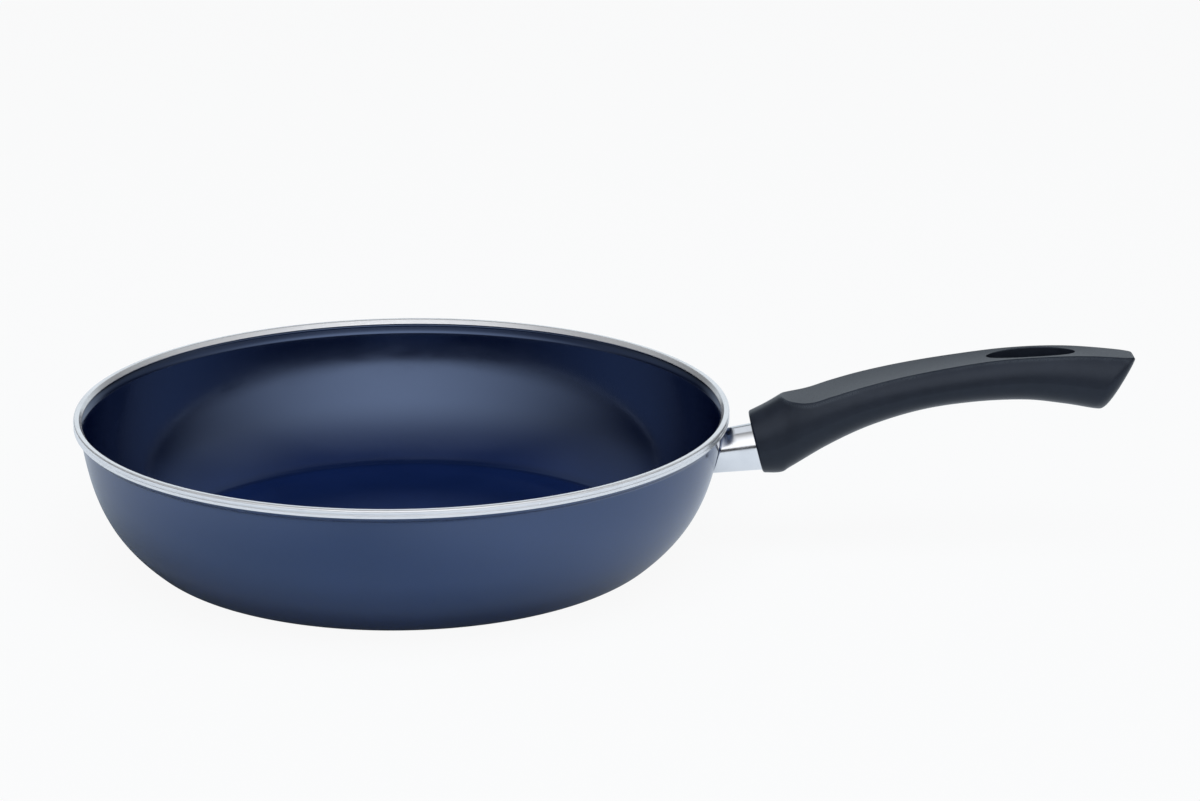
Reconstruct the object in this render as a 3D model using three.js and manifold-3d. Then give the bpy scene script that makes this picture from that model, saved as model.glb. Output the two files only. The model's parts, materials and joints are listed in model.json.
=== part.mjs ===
// Enamelled steel frying pan: a pressed bowl with a crimped rim ring, and a moulded grip that one
// long screw draws against a bracket on the wall, with a flame guard sleeve between the two.
// Millimetres, +Z up. The origin is the middle of the standing face; the handle points along +X.

import * as THREE from "three";
import { mergeVertices } from "three/addons/utils/BufferGeometryUtils.js";
import Module from "manifold-3d";

const wasm = await Module();
wasm.setup();

// Bowl: one pressed sheet, enamelled inside and out.
const RIM_DIAMETER = 282; // over the rim ring
const PAN_HEIGHT = 63.8; // standing face to the top of the rim ring
const BASE_DIAMETER = 204; // flat standing face
const WALL = 1.6; // sheet and both coats of enamel
const CORNER_RADIUS = 17.6; // outer face, from the base into the wall
const CORNER_ANGLE = 41; // degrees that the corner turns through
const WALL_LEAN = 7.3; // degrees off upright at the neck
const WALL_EASE_LOW = 0.35; // share of the wall's chord that keeps the corner's slope
const WALL_EASE_HIGH = 0.44; // share of the wall's chord that keeps the neck's slope
const FLARE_REACH = 2.3; // step out from the neck to the lip
const FLARE_HEIGHT = 3.8; // height of that step
const FLARE_EASE = 0.5; // share of that height that each bend takes

// Rim ring: a stainless channel crimped over the lip.
const RING_SHEET = 0.4;
const RING_GAP = 0.1; // between the lip and the channel
const RING_OUTER_LEG = 3.6;
const RING_INNER_LEG = 2.6;
const LIP_RUNOUT = 0.2; // upright lip left below the inner leg

// Handle line: where it leaves the wall and how it rises.
const HANDLE_DROP = 20.8; // top of the rim ring down to the handle's axis at the wall
const HANDLE_TILT = 8; // degrees above level
const SEAT_GAP = 0.3; // between pieces that bear on each other

// Flame guard: a flared oval sleeve of stainless sheet.
const GUARD_WALL_WIDTH = 15;
const GUARD_WALL_HEIGHT = 19;
const GUARD_GRIP_WIDTH = 17;
const GUARD_GRIP_HEIGHT = 21.6;
const GUARD_SHEET = 0.6;
const GUARD_SHOWS = 17.5; // length on the axis between the wall and the grip
const GUARD_ENTERS = 3.5; // length inside the grip

// Bracket: a strip bent into a stirrup, welded to the wall by its two legs.
const BRACKET_SHEET = 1.5;
const BRACKET_REACH = 10; // wall to the outer face of the web, on the axis
const BRACKET_BEND = 0.25; // inside radius of its bends

// Screw, nut and washers: one M5 set.
const NUT_WIDTH = 8;
const NUT_THICKNESS = 4;
const NUT_PLAY = 0.2; // nut to bracket leg
const THREAD_PLAY = 0.2; // screw to anything it passes through, on the radius
const SCREW_DIAMETER = 5;
const SCREW_PAST_NUT = 2;
const SCREW_CHAMFER = 0.8;
const HEAD_DIAMETER = 9.5;
const HEAD_HEIGHT = 3.4;
const HEAD_DOME = 1.4; // height of the rounded top of the head
const DRIVE_SPAN = 5; // cross recess, tip to tip
const DRIVE_SLOT = 1.3;
const DRIVE_DEPTH = 1.9;
const FLAT_WASHER_DIAMETER = 10;
const FLAT_WASHER_THICKNESS = 1;
const LOCK_WASHER_DIAMETER = 9.2;
const LOCK_WASHER_THICKNESS = 1.2;
const LOCK_WASHER_SPLIT = 12; // degrees left open
const STACK_GAP = 0.15; // between the faces of the screw's stack

// Grip: a phenolic moulding. Its outlines run from the middle of the front face: along +X, then up.
const CROWN = [
  [-10, 12.3],
  [3, 18.9],
  [16, 26.8],
  [28, 31.8],
  [48, 36.5],
  [84, 42.2],
  [120, 46.8],
  [148, 45.4],
  [172, 42],
];
const UNDERSIDE = [
  [-10, -11],
  [3, -11.1],
  [10.5, -10.8],
  [15, -8],
  [30, 1.7],
  [48, 10.7],
  [70, 17.9],
  [92, 21.4],
  [114, 22.4],
  [132, 20.6],
  [148, 17.9],
  [172, 15],
];
const HALF_WIDTH = [
  [-10, 11.4],
  [10, 13.6],
  [26, 15.6],
  [60, 14.5],
  [104, 13.3],
  [140, 12.8],
  [172, 11],
];
// Thumb facet: a flat across the crown with a scooped front end.
const FACET = [
  [2, 27.4],
  [9.5, 23.4],
  [16, 22.6],
  [23, 23.4],
  [32, 26.4],
  [46, 30.7],
  [64, 35.1],
  [86, 39.2],
  [106, 42],
  [128, 43.3],
  [146, 42.9],
  [172, 40.7],
];
const SECTION_SQUARENESS = 2.4; // 2 is an ellipse, more is squarer
const PARTING_SHARE = 0.42; // underside to the mould's parting line, as a share of the section's height
const MOULD_DRAFT = 4; // degrees that the sides draw in above and below the parting line
const FRONT_RAKE = 14.4; // degrees that the front face leans back over the bowl
const TAIL_FOOT = 148.8; // front face to the lower edge of the tail
const TAIL_RAKE = 30; // degrees that the tail face leans out
const TAIL_TOP_ROUND = 2.4;
const TAIL_FOOT_ROUND = 1.6;
const TAIL_CORNER = 7; // corner radius of the tail, seen along its face
const GRIP_CLAMP = 16.5; // front face to the screw's seat, on the axis
const WELL_PLAY = 0.5; // washer to the side of the screw well
const EYE_CENTRE = 117; // front face to the middle of the hang eye
const EYE_LENGTH = 38;
const EYE_WIDTH = 14.4;
const EYE_DRAFT = 2; // degrees that the eye narrows downwards

// Facet counts.
const ROUND = 60; // bowl and rim ring
const OVAL = 36; // flame guard and hang eye
const SMALL_ROUND = 24; // screw, nut and washers
const SECTION = 28; // points round the grip
const STATIONS = 36; // sections along the grip
const BEND = 5; // divisions of a bend
const ARCH = 6; // divisions over the top of the lip

// Values that follow from the sizes above.
const radians = THREE.MathUtils.degToRad;
const tilt = radians(HANDLE_TILT);
const lipRadius = RIM_DIAMETER / 2 - RING_SHEET - RING_GAP - WALL / 2;
const lipTop = PAN_HEIGHT - RING_SHEET - RING_GAP;
const flareTop = PAN_HEIGHT - RING_INNER_LEG - LIP_RUNOUT;
const handleHeight = PAN_HEIGHT - HANDLE_DROP;
const guardEnd = GUARD_SHOWS + GUARD_ENTERS;
const webInside = BRACKET_REACH - BRACKET_SHEET;
const nutFace = webInside - STACK_GAP;
const nutBack = nutFace - NUT_THICKNESS;
const screwSeat = GUARD_SHOWS + GRIP_CLAMP;
const flatWasherFace = screwSeat + STACK_GAP;
const lockWasherFace = flatWasherFace + FLAT_WASHER_THICKNESS + STACK_GAP;
const headFace = lockWasherFace + LOCK_WASHER_THICKNESS + STACK_GAP;
const holeRadius = SCREW_DIAMETER / 2 + THREAD_PLAY;
const wellRadius = FLAT_WASHER_DIAMETER / 2 + WELL_PLAY;

// A closed geometry as a solid, without the empty triangles that a pole leaves.
function solidOf(geometry) {
  const bare = geometry.clone();
  bare.deleteAttribute("normal");
  bare.deleteAttribute("uv");
  const merged = mergeVertices(bare, 1e-4);
  const index = Array.from(merged.index.array);
  const kept = [];
  for (let i = 0; i < index.length; i += 3) {
    const corners = index.slice(i, i + 3);
    if (new Set(corners).size === 3) {
      kept.push(...corners);
    }
  }
  return new wasm.Manifold(
    new wasm.Mesh({
      numProp: 3,
      vertProperties: merged.attributes.position.array,
      triVerts: new Uint32Array(kept),
    }),
  );
}

// A solid as a geometry that a mesh can carry.
function geometryOf(solid) {
  const { vertProperties, triVerts } = solid.getMesh();
  const geometry = new THREE.BufferGeometry();
  geometry.setAttribute("position", new THREE.BufferAttribute(vertProperties, 3));
  geometry.setIndex(new THREE.BufferAttribute(triVerts, 1));
  geometry.computeVertexNormals();
  return geometry;
}

// A skin through rings of equal point count, closed by a fan on the first and the last ring.
function loft(rings) {
  const count = rings[0].length;
  const middles = [rings[0], rings.at(-1)].map((ring) =>
    ring.reduce((sum, point) => sum.add(point), new THREE.Vector3()).divideScalar(count),
  );
  const index = [];
  const firstMiddle = rings.length * count;
  const lastRing = (rings.length - 1) * count;
  for (let j = 0; j < count; j += 1) {
    const next = (j + 1) % count;
    for (let start = 0; start < lastRing; start += count) {
      const end = start + count;
      index.push(start + j, end + next, end + j);
      index.push(start + j, start + next, end + next);
    }
    index.push(firstMiddle, next, j);
    index.push(firstMiddle + 1, lastRing + j, lastRing + next);
  }
  const geometry = new THREE.BufferGeometry().setFromPoints([...rings.flat(), ...middles]);
  return geometry.setIndex(index);
}

// A revolved profile of [radius, height] points about the Z axis.
function revolve(profile, segments) {
  const points = profile.map(([radius, height]) => new THREE.Vector2(radius, height));
  return new THREE.LatheGeometry(points, segments).rotateX(Math.PI / 2);
}

// A revolved profile of [radius, position] points about the X axis.
function turn(profile) {
  return revolve(profile, SMALL_ROUND).rotateY(Math.PI / 2);
}

// A round bar along X.
function bar(radius, from, to) {
  return turn([
    [0, from],
    [radius, from],
    [radius, to],
    [0, to],
  ]);
}

// A side-view shape of (x, z), given a width across Y and centred on it.
function slab(shape, width, curveSegments) {
  const settings = { depth: width, bevelEnabled: false, curveSegments };
  return new THREE.ExtrudeGeometry(shape, settings).translate(0, 0, -width / 2).rotateX(Math.PI / 2);
}

// An oval ring across X.
function ovalAcross(x, halfWidth, halfHeight) {
  return Array.from({ length: OVAL }, (_, i) => {
    const angle = (2 * Math.PI * i) / OVAL;
    return new THREE.Vector3(x, halfWidth * Math.cos(angle), halfHeight * Math.sin(angle));
  });
}

// A smooth curve through [x, height] points, with its height at any x.
function outline(points) {
  const curve = new THREE.SplineCurve(points.map(([x, height]) => new THREE.Vector2(x, height)));
  const heightAt = (x) => {
    let low = 0;
    let high = 1;
    while (high - low > 1e-6) {
      const middle = (low + high) / 2;
      if (curve.getPoint(middle).x < x) {
        low = middle;
      } else {
        high = middle;
      }
    }
    return curve.getPoint(low).y;
  };
  return { curve, heightAt, from: points[0][0], to: points.at(-1)[0] };
}

// The middle line of the bowl's sheet, from the axis to the lip.
function sheetLine() {
  const middle = WALL / 2;
  const bend = CORNER_RADIUS - middle;
  const turned = radians(CORNER_ANGLE);
  const lean = radians(WALL_LEAN);
  const baseRadius = BASE_DIAMETER / 2;
  const cornerEnd = new THREE.Vector2(
    baseRadius + bend * Math.sin(turned),
    middle + bend * (1 - Math.cos(turned)),
  );
  const neck = new THREE.Vector2(lipRadius - FLARE_REACH, flareTop - FLARE_HEIGHT);
  const chord = neck.distanceTo(cornerEnd);
  const low = new THREE.Vector2(Math.cos(turned), Math.sin(turned)).multiplyScalar(WALL_EASE_LOW * chord);
  const high = new THREE.Vector2(Math.sin(lean), Math.cos(lean));
  const wallTo = neck.clone().addScaledVector(high, -WALL_EASE_HIGH * chord);
  const flareFrom = neck.clone().addScaledVector(high, FLARE_EASE * FLARE_HEIGHT);
  const path = new THREE.Path();
  path.moveTo(0, middle);
  path.lineTo(baseRadius, middle);
  path.absarc(baseRadius, middle + bend, bend, -Math.PI / 2, turned - Math.PI / 2, false);
  path.bezierCurveTo(cornerEnd.x + low.x, cornerEnd.y + low.y, wallTo.x, wallTo.y, neck.x, neck.y);
  path.bezierCurveTo(
    flareFrom.x,
    flareFrom.y,
    lipRadius,
    flareTop - FLARE_EASE * FLARE_HEIGHT,
    lipRadius,
    flareTop,
  );
  path.lineTo(lipRadius, lipTop - middle);
  return path.getPoints(BEND);
}

// The sheet's middle line moved outwards by a distance, as [radius, height] points.
function sheetFace(line, distance) {
  return line.map((point, i) => {
    const before = line[Math.max(i - 1, 0)];
    const after = line[Math.min(i + 1, line.length - 1)];
    const along = after.clone().sub(before).normalize();
    return [Math.max(point.x + along.y * distance, 0), point.y - along.x * distance];
  });
}

// Points on a half circle over the top, from its outer end to its inner end.
function overTop(radius, height, reach) {
  return Array.from({ length: ARCH + 1 }, (_, i) => {
    const angle = (Math.PI * i) / ARCH;
    return [radius + reach * Math.cos(angle), height + reach * Math.sin(angle)];
  });
}

const line = sheetLine();
const outerFace = sheetFace(line, WALL / 2);
const innerFace = sheetFace(line, -WALL / 2);

// The radius of the bowl's outer face at a height on the wall.
function wallRadius(height) {
  const above = outerFace.findIndex((point) => point[1] > height);
  const [lowRadius, lowHeight] = outerFace[above - 1];
  const [highRadius, highHeight] = outerFace[above];
  const share = (height - lowHeight) / (highHeight - lowHeight);
  return lowRadius + share * (highRadius - lowRadius);
}

// Bowl
function panBody() {
  const lip = overTop(lipRadius, lipTop - WALL / 2, WALL / 2).slice(1, -1);
  return solidOf(revolve([...outerFace, ...lip, ...innerFace.toReversed()], ROUND));
}

// Rim ring: a channel that closes over the lip, its outer leg longer than its inner one.
function rimRing() {
  const inside = WALL / 2 + RING_GAP;
  const outside = inside + RING_SHEET;
  const crown = lipTop - WALL / 2;
  const outerFoot = PAN_HEIGHT - RING_OUTER_LEG;
  const innerFoot = PAN_HEIGHT - RING_INNER_LEG;
  return solidOf(
    revolve(
      [
        [lipRadius + inside, outerFoot],
        [lipRadius + outside, outerFoot],
        ...overTop(lipRadius, crown, outside),
        [lipRadius - outside, innerFoot],
        [lipRadius - inside, innerFoot],
        ...overTop(lipRadius, crown, inside).toReversed(),
        [lipRadius + inside, outerFoot],
      ],
      ROUND,
    ),
  );
}

// The space that the bowl fills, grown by the seat gap, in the frame of the handle's axis.
function bowlKeepOut() {
  const grown = sheetFace(line, WALL / 2 + SEAT_GAP);
  const top = grown.at(-1)[1];
  return solidOf(
    revolve([...grown, [0, top]], ROUND)
      .translate(-wallRadius(handleHeight), 0, -handleHeight)
      .rotateY(tilt),
  );
}

// Half width and half height of the flame guard's outside at a place on the axis.
function guardHalf(x) {
  const share = x / guardEnd;
  return [
    THREE.MathUtils.lerp(GUARD_WALL_WIDTH, GUARD_GRIP_WIDTH, share) / 2,
    THREE.MathUtils.lerp(GUARD_WALL_HEIGHT, GUARD_GRIP_HEIGHT, share) / 2,
  ];
}

// The flame guard's oval between two places on the axis, grown by a distance.
function guardOval(from, to, grow) {
  const rings = [from, to].map((x) => {
    const [halfWidth, halfHeight] = guardHalf(x);
    return ovalAcross(x, halfWidth + grow, halfHeight + grow);
  });
  return solidOf(loft(rings));
}

// Flame guard: the sleeve ends in a saddle on the wall.
function flameGuard() {
  const start = -GUARD_WALL_HEIGHT / 2;
  const past = guardEnd + GUARD_SHEET;
  return guardOval(start, guardEnd, 0)
    .subtract(guardOval(start - GUARD_SHEET, past, -GUARD_SHEET))
    .subtract(bowlKeepOut());
}

// Bracket: two legs on the wall and a web with the screw's hole.
function handleBracket() {
  const inside = NUT_WIDTH / 2 + NUT_PLAY;
  const outside = inside + BRACKET_SHEET;
  const outerBend = BRACKET_BEND + BRACKET_SHEET;
  const bendAt = webInside - BRACKET_BEND;
  const root = -outside;
  const [halfWidth, halfHeight] = guardHalf(0).map((half) => half - GUARD_SHEET - SEAT_GAP);
  const width = 2 * halfWidth * Math.sqrt(1 - (outside / halfHeight) ** 2);
  const shape = new THREE.Shape();
  shape.moveTo(root, -outside);
  shape.lineTo(bendAt, -outside);
  shape.absarc(bendAt, outerBend - outside, outerBend, -Math.PI / 2, 0, false);
  shape.lineTo(BRACKET_REACH, outside - outerBend);
  shape.absarc(bendAt, outside - outerBend, outerBend, 0, Math.PI / 2, false);
  shape.lineTo(root, outside);
  shape.lineTo(root, inside);
  shape.lineTo(bendAt, inside);
  shape.absarc(bendAt, inside - BRACKET_BEND, BRACKET_BEND, Math.PI / 2, 0, true);
  shape.lineTo(webInside, BRACKET_BEND - inside);
  shape.absarc(bendAt, BRACKET_BEND - inside, BRACKET_BEND, 0, -Math.PI / 2, true);
  shape.lineTo(root, -inside);
  return solidOf(slab(shape, width, BEND))
    .subtract(solidOf(bar(holeRadius, 0, guardEnd)))
    .subtract(bowlKeepOut());
}

// Square nut, held from turning by the bracket's legs.
function bracketNut() {
  const block = new THREE.BoxGeometry(NUT_THICKNESS, NUT_WIDTH, NUT_WIDTH);
  return solidOf(block.translate((nutBack + nutFace) / 2, 0, 0)).subtract(
    solidOf(bar(holeRadius, 0, guardEnd)),
  );
}

// Screw: a round head with a cross recess on a plain shank with a chamfered tip.
function handleScrew() {
  const shank = SCREW_DIAMETER / 2;
  const head = HEAD_DIAMETER / 2;
  const tip = nutBack - SCREW_PAST_NUT;
  const top = headFace + HEAD_HEIGHT;
  const shoulder = top - HEAD_DOME;
  const dome = Array.from({ length: BEND }, (_, i) => {
    const angle = (Math.PI / 2) * (i / BEND);
    return [head * Math.cos(angle), shoulder + HEAD_DOME * Math.sin(angle)];
  });
  const turned = turn([
    [0, tip],
    [shank - SCREW_CHAMFER, tip],
    [shank, tip + SCREW_CHAMFER],
    [shank, headFace],
    [head, headFace],
    ...dome,
    [0, top],
  ]);
  const recessFrom = top - DRIVE_DEPTH;
  const recess = [
    [DRIVE_SPAN, DRIVE_SLOT],
    [DRIVE_SLOT, DRIVE_SPAN],
  ].map(([across, up]) => {
    const wing = new THREE.BoxGeometry(2 * DRIVE_DEPTH, across, up);
    return solidOf(wing.translate(recessFrom + DRIVE_DEPTH, 0, 0));
  });
  return recess.reduce((screw, wing) => screw.subtract(wing), solidOf(turned));
}

// Flat washer between the moulding and the lock washer.
function flatWasher() {
  const outside = FLAT_WASHER_DIAMETER / 2;
  const back = flatWasherFace + FLAT_WASHER_THICKNESS;
  return solidOf(
    turn([
      [holeRadius, flatWasherFace],
      [outside, flatWasherFace],
      [outside, back],
      [holeRadius, back],
      [holeRadius, flatWasherFace],
    ]),
  );
}

// Split lock washer, drawn flat by the screw.
function lockWasher() {
  const outside = LOCK_WASHER_DIAMETER / 2;
  const half = radians(LOCK_WASHER_SPLIT) / 2;
  const shape = new THREE.Shape();
  shape.absarc(0, 0, outside, half, 2 * Math.PI - half, false);
  shape.absarc(0, 0, holeRadius, 2 * Math.PI - half, half, true);
  const settings = { depth: LOCK_WASHER_THICKNESS, bevelEnabled: false, curveSegments: SMALL_ROUND };
  const washer = new THREE.ExtrudeGeometry(shape, settings).rotateY(Math.PI / 2);
  return solidOf(washer.translate(lockWasherFace, 0, 0));
}

const crown = outline(CROWN);
const underside = outline(UNDERSIDE);
const halfWidth = outline(HALF_WIDTH);
const facet = outline(FACET);
const rake = radians(TAIL_RAKE);
const tailFoot = new THREE.Vector2(TAIL_FOOT, underside.heightAt(TAIL_FOOT));
const tailUp = new THREE.Vector2(Math.sin(rake), Math.cos(rake));

// Where the tail face meets the thumb facet.
function tailTop() {
  let reach = 0;
  let step = TAIL_FOOT;
  while (step > 1e-6) {
    const point = tailFoot.clone().addScaledVector(tailUp, reach + step);
    if (point.y < facet.heightAt(point.x)) {
      reach += step;
    }
    step /= 2;
  }
  return tailFoot.clone().addScaledVector(tailUp, reach);
}

// The grip's full skin, as squared ovals that draw in from the parting line to the crown and the underside.
function gripSkin() {
  const power = 2 / SECTION_SQUARENESS;
  const draft = Math.tan(radians(MOULD_DRAFT));
  const soften = (value) => Math.sign(value) * Math.abs(value) ** power;
  const rings = Array.from({ length: STATIONS }, (_, i) => {
    const x = THREE.MathUtils.lerp(crown.from, crown.to, i / (STATIONS - 1));
    const top = crown.heightAt(x);
    const bottom = underside.heightAt(x);
    const across = halfWidth.heightAt(x);
    const parting = THREE.MathUtils.lerp(bottom, top, PARTING_SHARE);
    return Array.from({ length: SECTION }, (__, j) => {
      const angle = (2 * Math.PI * j) / SECTION;
      const reach = Math.sin(angle) > 0 ? top - parting : parting - bottom;
      const up = reach * soften(Math.sin(angle));
      const out = (across - draft * Math.abs(up)) * soften(Math.cos(angle));
      return new THREE.Vector3(x, out, parting + up);
    });
  });
  return solidOf(loft(rings));
}

// The side view that trims the skin: raked front, thumb facet, rounded tail.
function gripSideView() {
  const width = 4 * Math.max(...HALF_WIDTH.map((point) => point[1]));
  const lean = Math.tan(radians(FRONT_RAKE));
  const depth = Math.min(...UNDERSIDE.map((point) => point[1])) - WALL;
  const top = tailTop();
  const beforeFoot = TAIL_FOOT - TAIL_FOOT_ROUND;
  const afterFoot = tailFoot.clone().addScaledVector(tailUp, TAIL_FOOT_ROUND);
  const beforeTop = top.clone().addScaledVector(tailUp, -TAIL_TOP_ROUND);
  const afterTop = top.x - TAIL_TOP_ROUND;
  const facetStart = FACET[0][0];
  const facetPoints = facet.curve
    .getPoints(FACET.length * BEND)
    .filter((point) => point.x > facetStart && point.x < afterTop)
    .reverse();
  const shape = new THREE.Shape();
  shape.moveTo(-depth * lean, depth);
  shape.lineTo(EYE_CENTRE, depth);
  shape.lineTo(beforeFoot, underside.heightAt(beforeFoot));
  shape.quadraticCurveTo(tailFoot.x, tailFoot.y, afterFoot.x, afterFoot.y);
  shape.lineTo(beforeTop.x, beforeTop.y);
  shape.quadraticCurveTo(top.x, top.y, afterTop, facet.heightAt(afterTop));
  facetPoints.forEach((point) => shape.lineTo(point.x, point.y));
  shape.lineTo(-FACET[0][1] * lean, FACET[0][1]);
  return solidOf(slab(shape, width, BEND));
}

// A long block with rounded tail corners, leaning with the tail face.
function gripTailView() {
  const across = halfWidth.heightAt(TAIL_FOOT);
  const height = 2 * TAIL_FOOT;
  const shape = new THREE.Shape();
  shape.moveTo(-height, -2 * across);
  shape.lineTo(-TAIL_FOOT / 4, -2 * across);
  shape.lineTo(-TAIL_CORNER, -across);
  shape.absarc(-TAIL_CORNER, TAIL_CORNER - across, TAIL_CORNER, -Math.PI / 2, 0, false);
  shape.absarc(-TAIL_CORNER, across - TAIL_CORNER, TAIL_CORNER, 0, Math.PI / 2, false);
  shape.lineTo(-TAIL_FOOT / 4, 2 * across);
  shape.lineTo(-height, 2 * across);
  const settings = { depth: height, bevelEnabled: false, curveSegments: BEND };
  return solidOf(
    new THREE.ExtrudeGeometry(shape, settings)
      .translate(0, 0, -height / 2)
      .rotateY(rake)
      .translate(tailFoot.x, 0, tailFoot.y),
  );
}

// The hang eye, an oval that narrows downwards.
function hangEye() {
  const top = Math.max(...CROWN.map((point) => point[1]));
  const bottom = Math.min(...UNDERSIDE.map((point) => point[1]));
  const level = facet.heightAt(EYE_CENTRE);
  const rings = [bottom, top].map((z) => {
    const draft = (z - level) * Math.tan(radians(EYE_DRAFT));
    return Array.from({ length: OVAL }, (_, i) => {
      const angle = (2 * Math.PI * i) / OVAL;
      const x = EYE_CENTRE + (EYE_LENGTH / 2 + draft) * Math.cos(angle);
      return new THREE.Vector3(x, (EYE_WIDTH / 2 + draft) * Math.sin(angle), z);
    });
  });
  return solidOf(loft(rings));
}

// Grip: the trimmed skin with a pocket and nose for the guard, the screw's bore and well, and the eye.
function handleGrip() {
  const toGrip = (solid) => {
    const geometry = geometryOf(solid).translate(-GUARD_SHOWS, 0, 0).rotateY(-tilt);
    return solidOf(geometry);
  };
  const noseTip = BRACKET_REACH + SEAT_GAP;
  const pocketEnd = guardEnd + SEAT_GAP;
  const [noseWidth, noseHeight] = guardHalf(noseTip).map((half) => half - GUARD_SHEET - SEAT_GAP);
  const nose = solidOf(
    loft([
      ovalAcross(noseTip, noseWidth, noseHeight),
      ovalAcross(screwSeat, noseWidth, noseHeight),
    ]),
  );
  const wellEnd = screwSeat + TAIL_FOOT / 2;
  return gripSkin()
    .intersect(gripSideView())
    .intersect(gripTailView())
    .subtract(toGrip(guardOval(0, pocketEnd, SEAT_GAP)))
    .add(toGrip(nose))
    .subtract(toGrip(solidOf(bar(holeRadius, 0, screwSeat + WALL))))
    .subtract(toGrip(solidOf(bar(wellRadius, screwSeat, wellEnd))))
    .subtract(hangEye());
}

const enamel = new THREE.MeshStandardMaterial({ color: 0x0a1a3c, roughness: 0.15, metalness: 0 });
const stainless = new THREE.MeshStandardMaterial({ color: 0xc9cdd2, roughness: 0.2, metalness: 1 });
const phenolic = new THREE.MeshStandardMaterial({ color: 0x1d2024, roughness: 0.55, metalness: 0 });
const zinc = new THREE.MeshStandardMaterial({ color: 0xa9adb0, roughness: 0.35, metalness: 1 });

// A named piece of the assembly.
function piece(name, solid, material) {
  const mesh = new THREE.Mesh(geometryOf(solid), material);
  mesh.name = name;
  return mesh;
}

const axis = new THREE.Group();
axis.name = "handle_axis";
axis.position.set(wallRadius(handleHeight), 0, handleHeight);
axis.rotation.y = -tilt;
axis.add(
  piece("handle_bracket", handleBracket(), enamel),
  piece("bracket_nut", bracketNut(), zinc),
  piece("flame_guard", flameGuard(), stainless),
  piece("handle_screw", handleScrew(), zinc),
  piece("lock_washer", lockWasher(), zinc),
  piece("flat_washer", flatWasher(), zinc),
);
const grip = piece("handle_grip", handleGrip(), phenolic);
grip.position.set(GUARD_SHOWS, 0, 0);
grip.rotation.y = tilt;
axis.add(grip);

const pan = new THREE.Group();
pan.name = "frying_pan";
pan.add(piece("pan_body", panBody(), enamel), piece("rim_ring", rimRing(), stainless), axis);

export default pan;
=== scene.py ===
"""Enamelled steel frying pan with a bright rim ring and a curved moulded handle, in a pale studio.

Sizes are in millimetres and degrees, and a mesh is written in metres. The bowl's axis is Z, its base
stands on z = 0, and the handle runs along +X.
"""

import json
import logging
import math
from dataclasses import dataclass
from enum import Enum
from typing import Any, Sequence

import bpy
import numpy as np
from mathutils import Matrix, Vector

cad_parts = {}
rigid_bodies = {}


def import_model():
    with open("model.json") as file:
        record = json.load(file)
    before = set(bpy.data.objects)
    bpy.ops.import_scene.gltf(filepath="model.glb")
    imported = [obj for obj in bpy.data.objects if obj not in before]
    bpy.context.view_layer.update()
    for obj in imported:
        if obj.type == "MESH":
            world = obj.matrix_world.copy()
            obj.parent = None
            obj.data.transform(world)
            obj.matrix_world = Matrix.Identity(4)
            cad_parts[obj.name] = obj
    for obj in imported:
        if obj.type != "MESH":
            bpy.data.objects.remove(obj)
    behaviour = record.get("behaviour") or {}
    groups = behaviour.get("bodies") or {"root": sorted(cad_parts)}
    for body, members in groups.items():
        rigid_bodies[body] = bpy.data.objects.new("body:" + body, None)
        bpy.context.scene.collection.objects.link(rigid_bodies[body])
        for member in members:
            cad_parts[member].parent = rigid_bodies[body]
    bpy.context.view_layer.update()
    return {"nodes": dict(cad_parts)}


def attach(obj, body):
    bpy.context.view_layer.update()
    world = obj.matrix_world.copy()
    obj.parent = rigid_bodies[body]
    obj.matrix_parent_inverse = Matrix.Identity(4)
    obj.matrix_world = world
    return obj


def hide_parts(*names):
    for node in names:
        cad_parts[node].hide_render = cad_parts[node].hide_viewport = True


Array = np.ndarray
Colour = tuple[float, float, float]
Place = tuple[float, float, float]
Range = tuple[float, float]
MM = 0.001
WHITE = (1.0, 1.0, 1.0)
MIX_INPUTS = (0, 6, 7)
MIX_OUTPUT = 2
SQUARE = ((-1, -1), (1, -1), (1, 1), (-1, 1))
log = logging.getLogger("frying_pan")


class Slot(Enum):
    """The record's material slots."""

    ENAMEL = "enamel"
    STAINLESS = "stainless"
    PHENOLIC = "phenolic"
    ZINC = "zinc"


class Ends(Enum):
    """How a skin of rings is closed."""

    POLES = "a point beyond the first and the last ring"
    JOINED = "the last ring runs on into the first"


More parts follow.
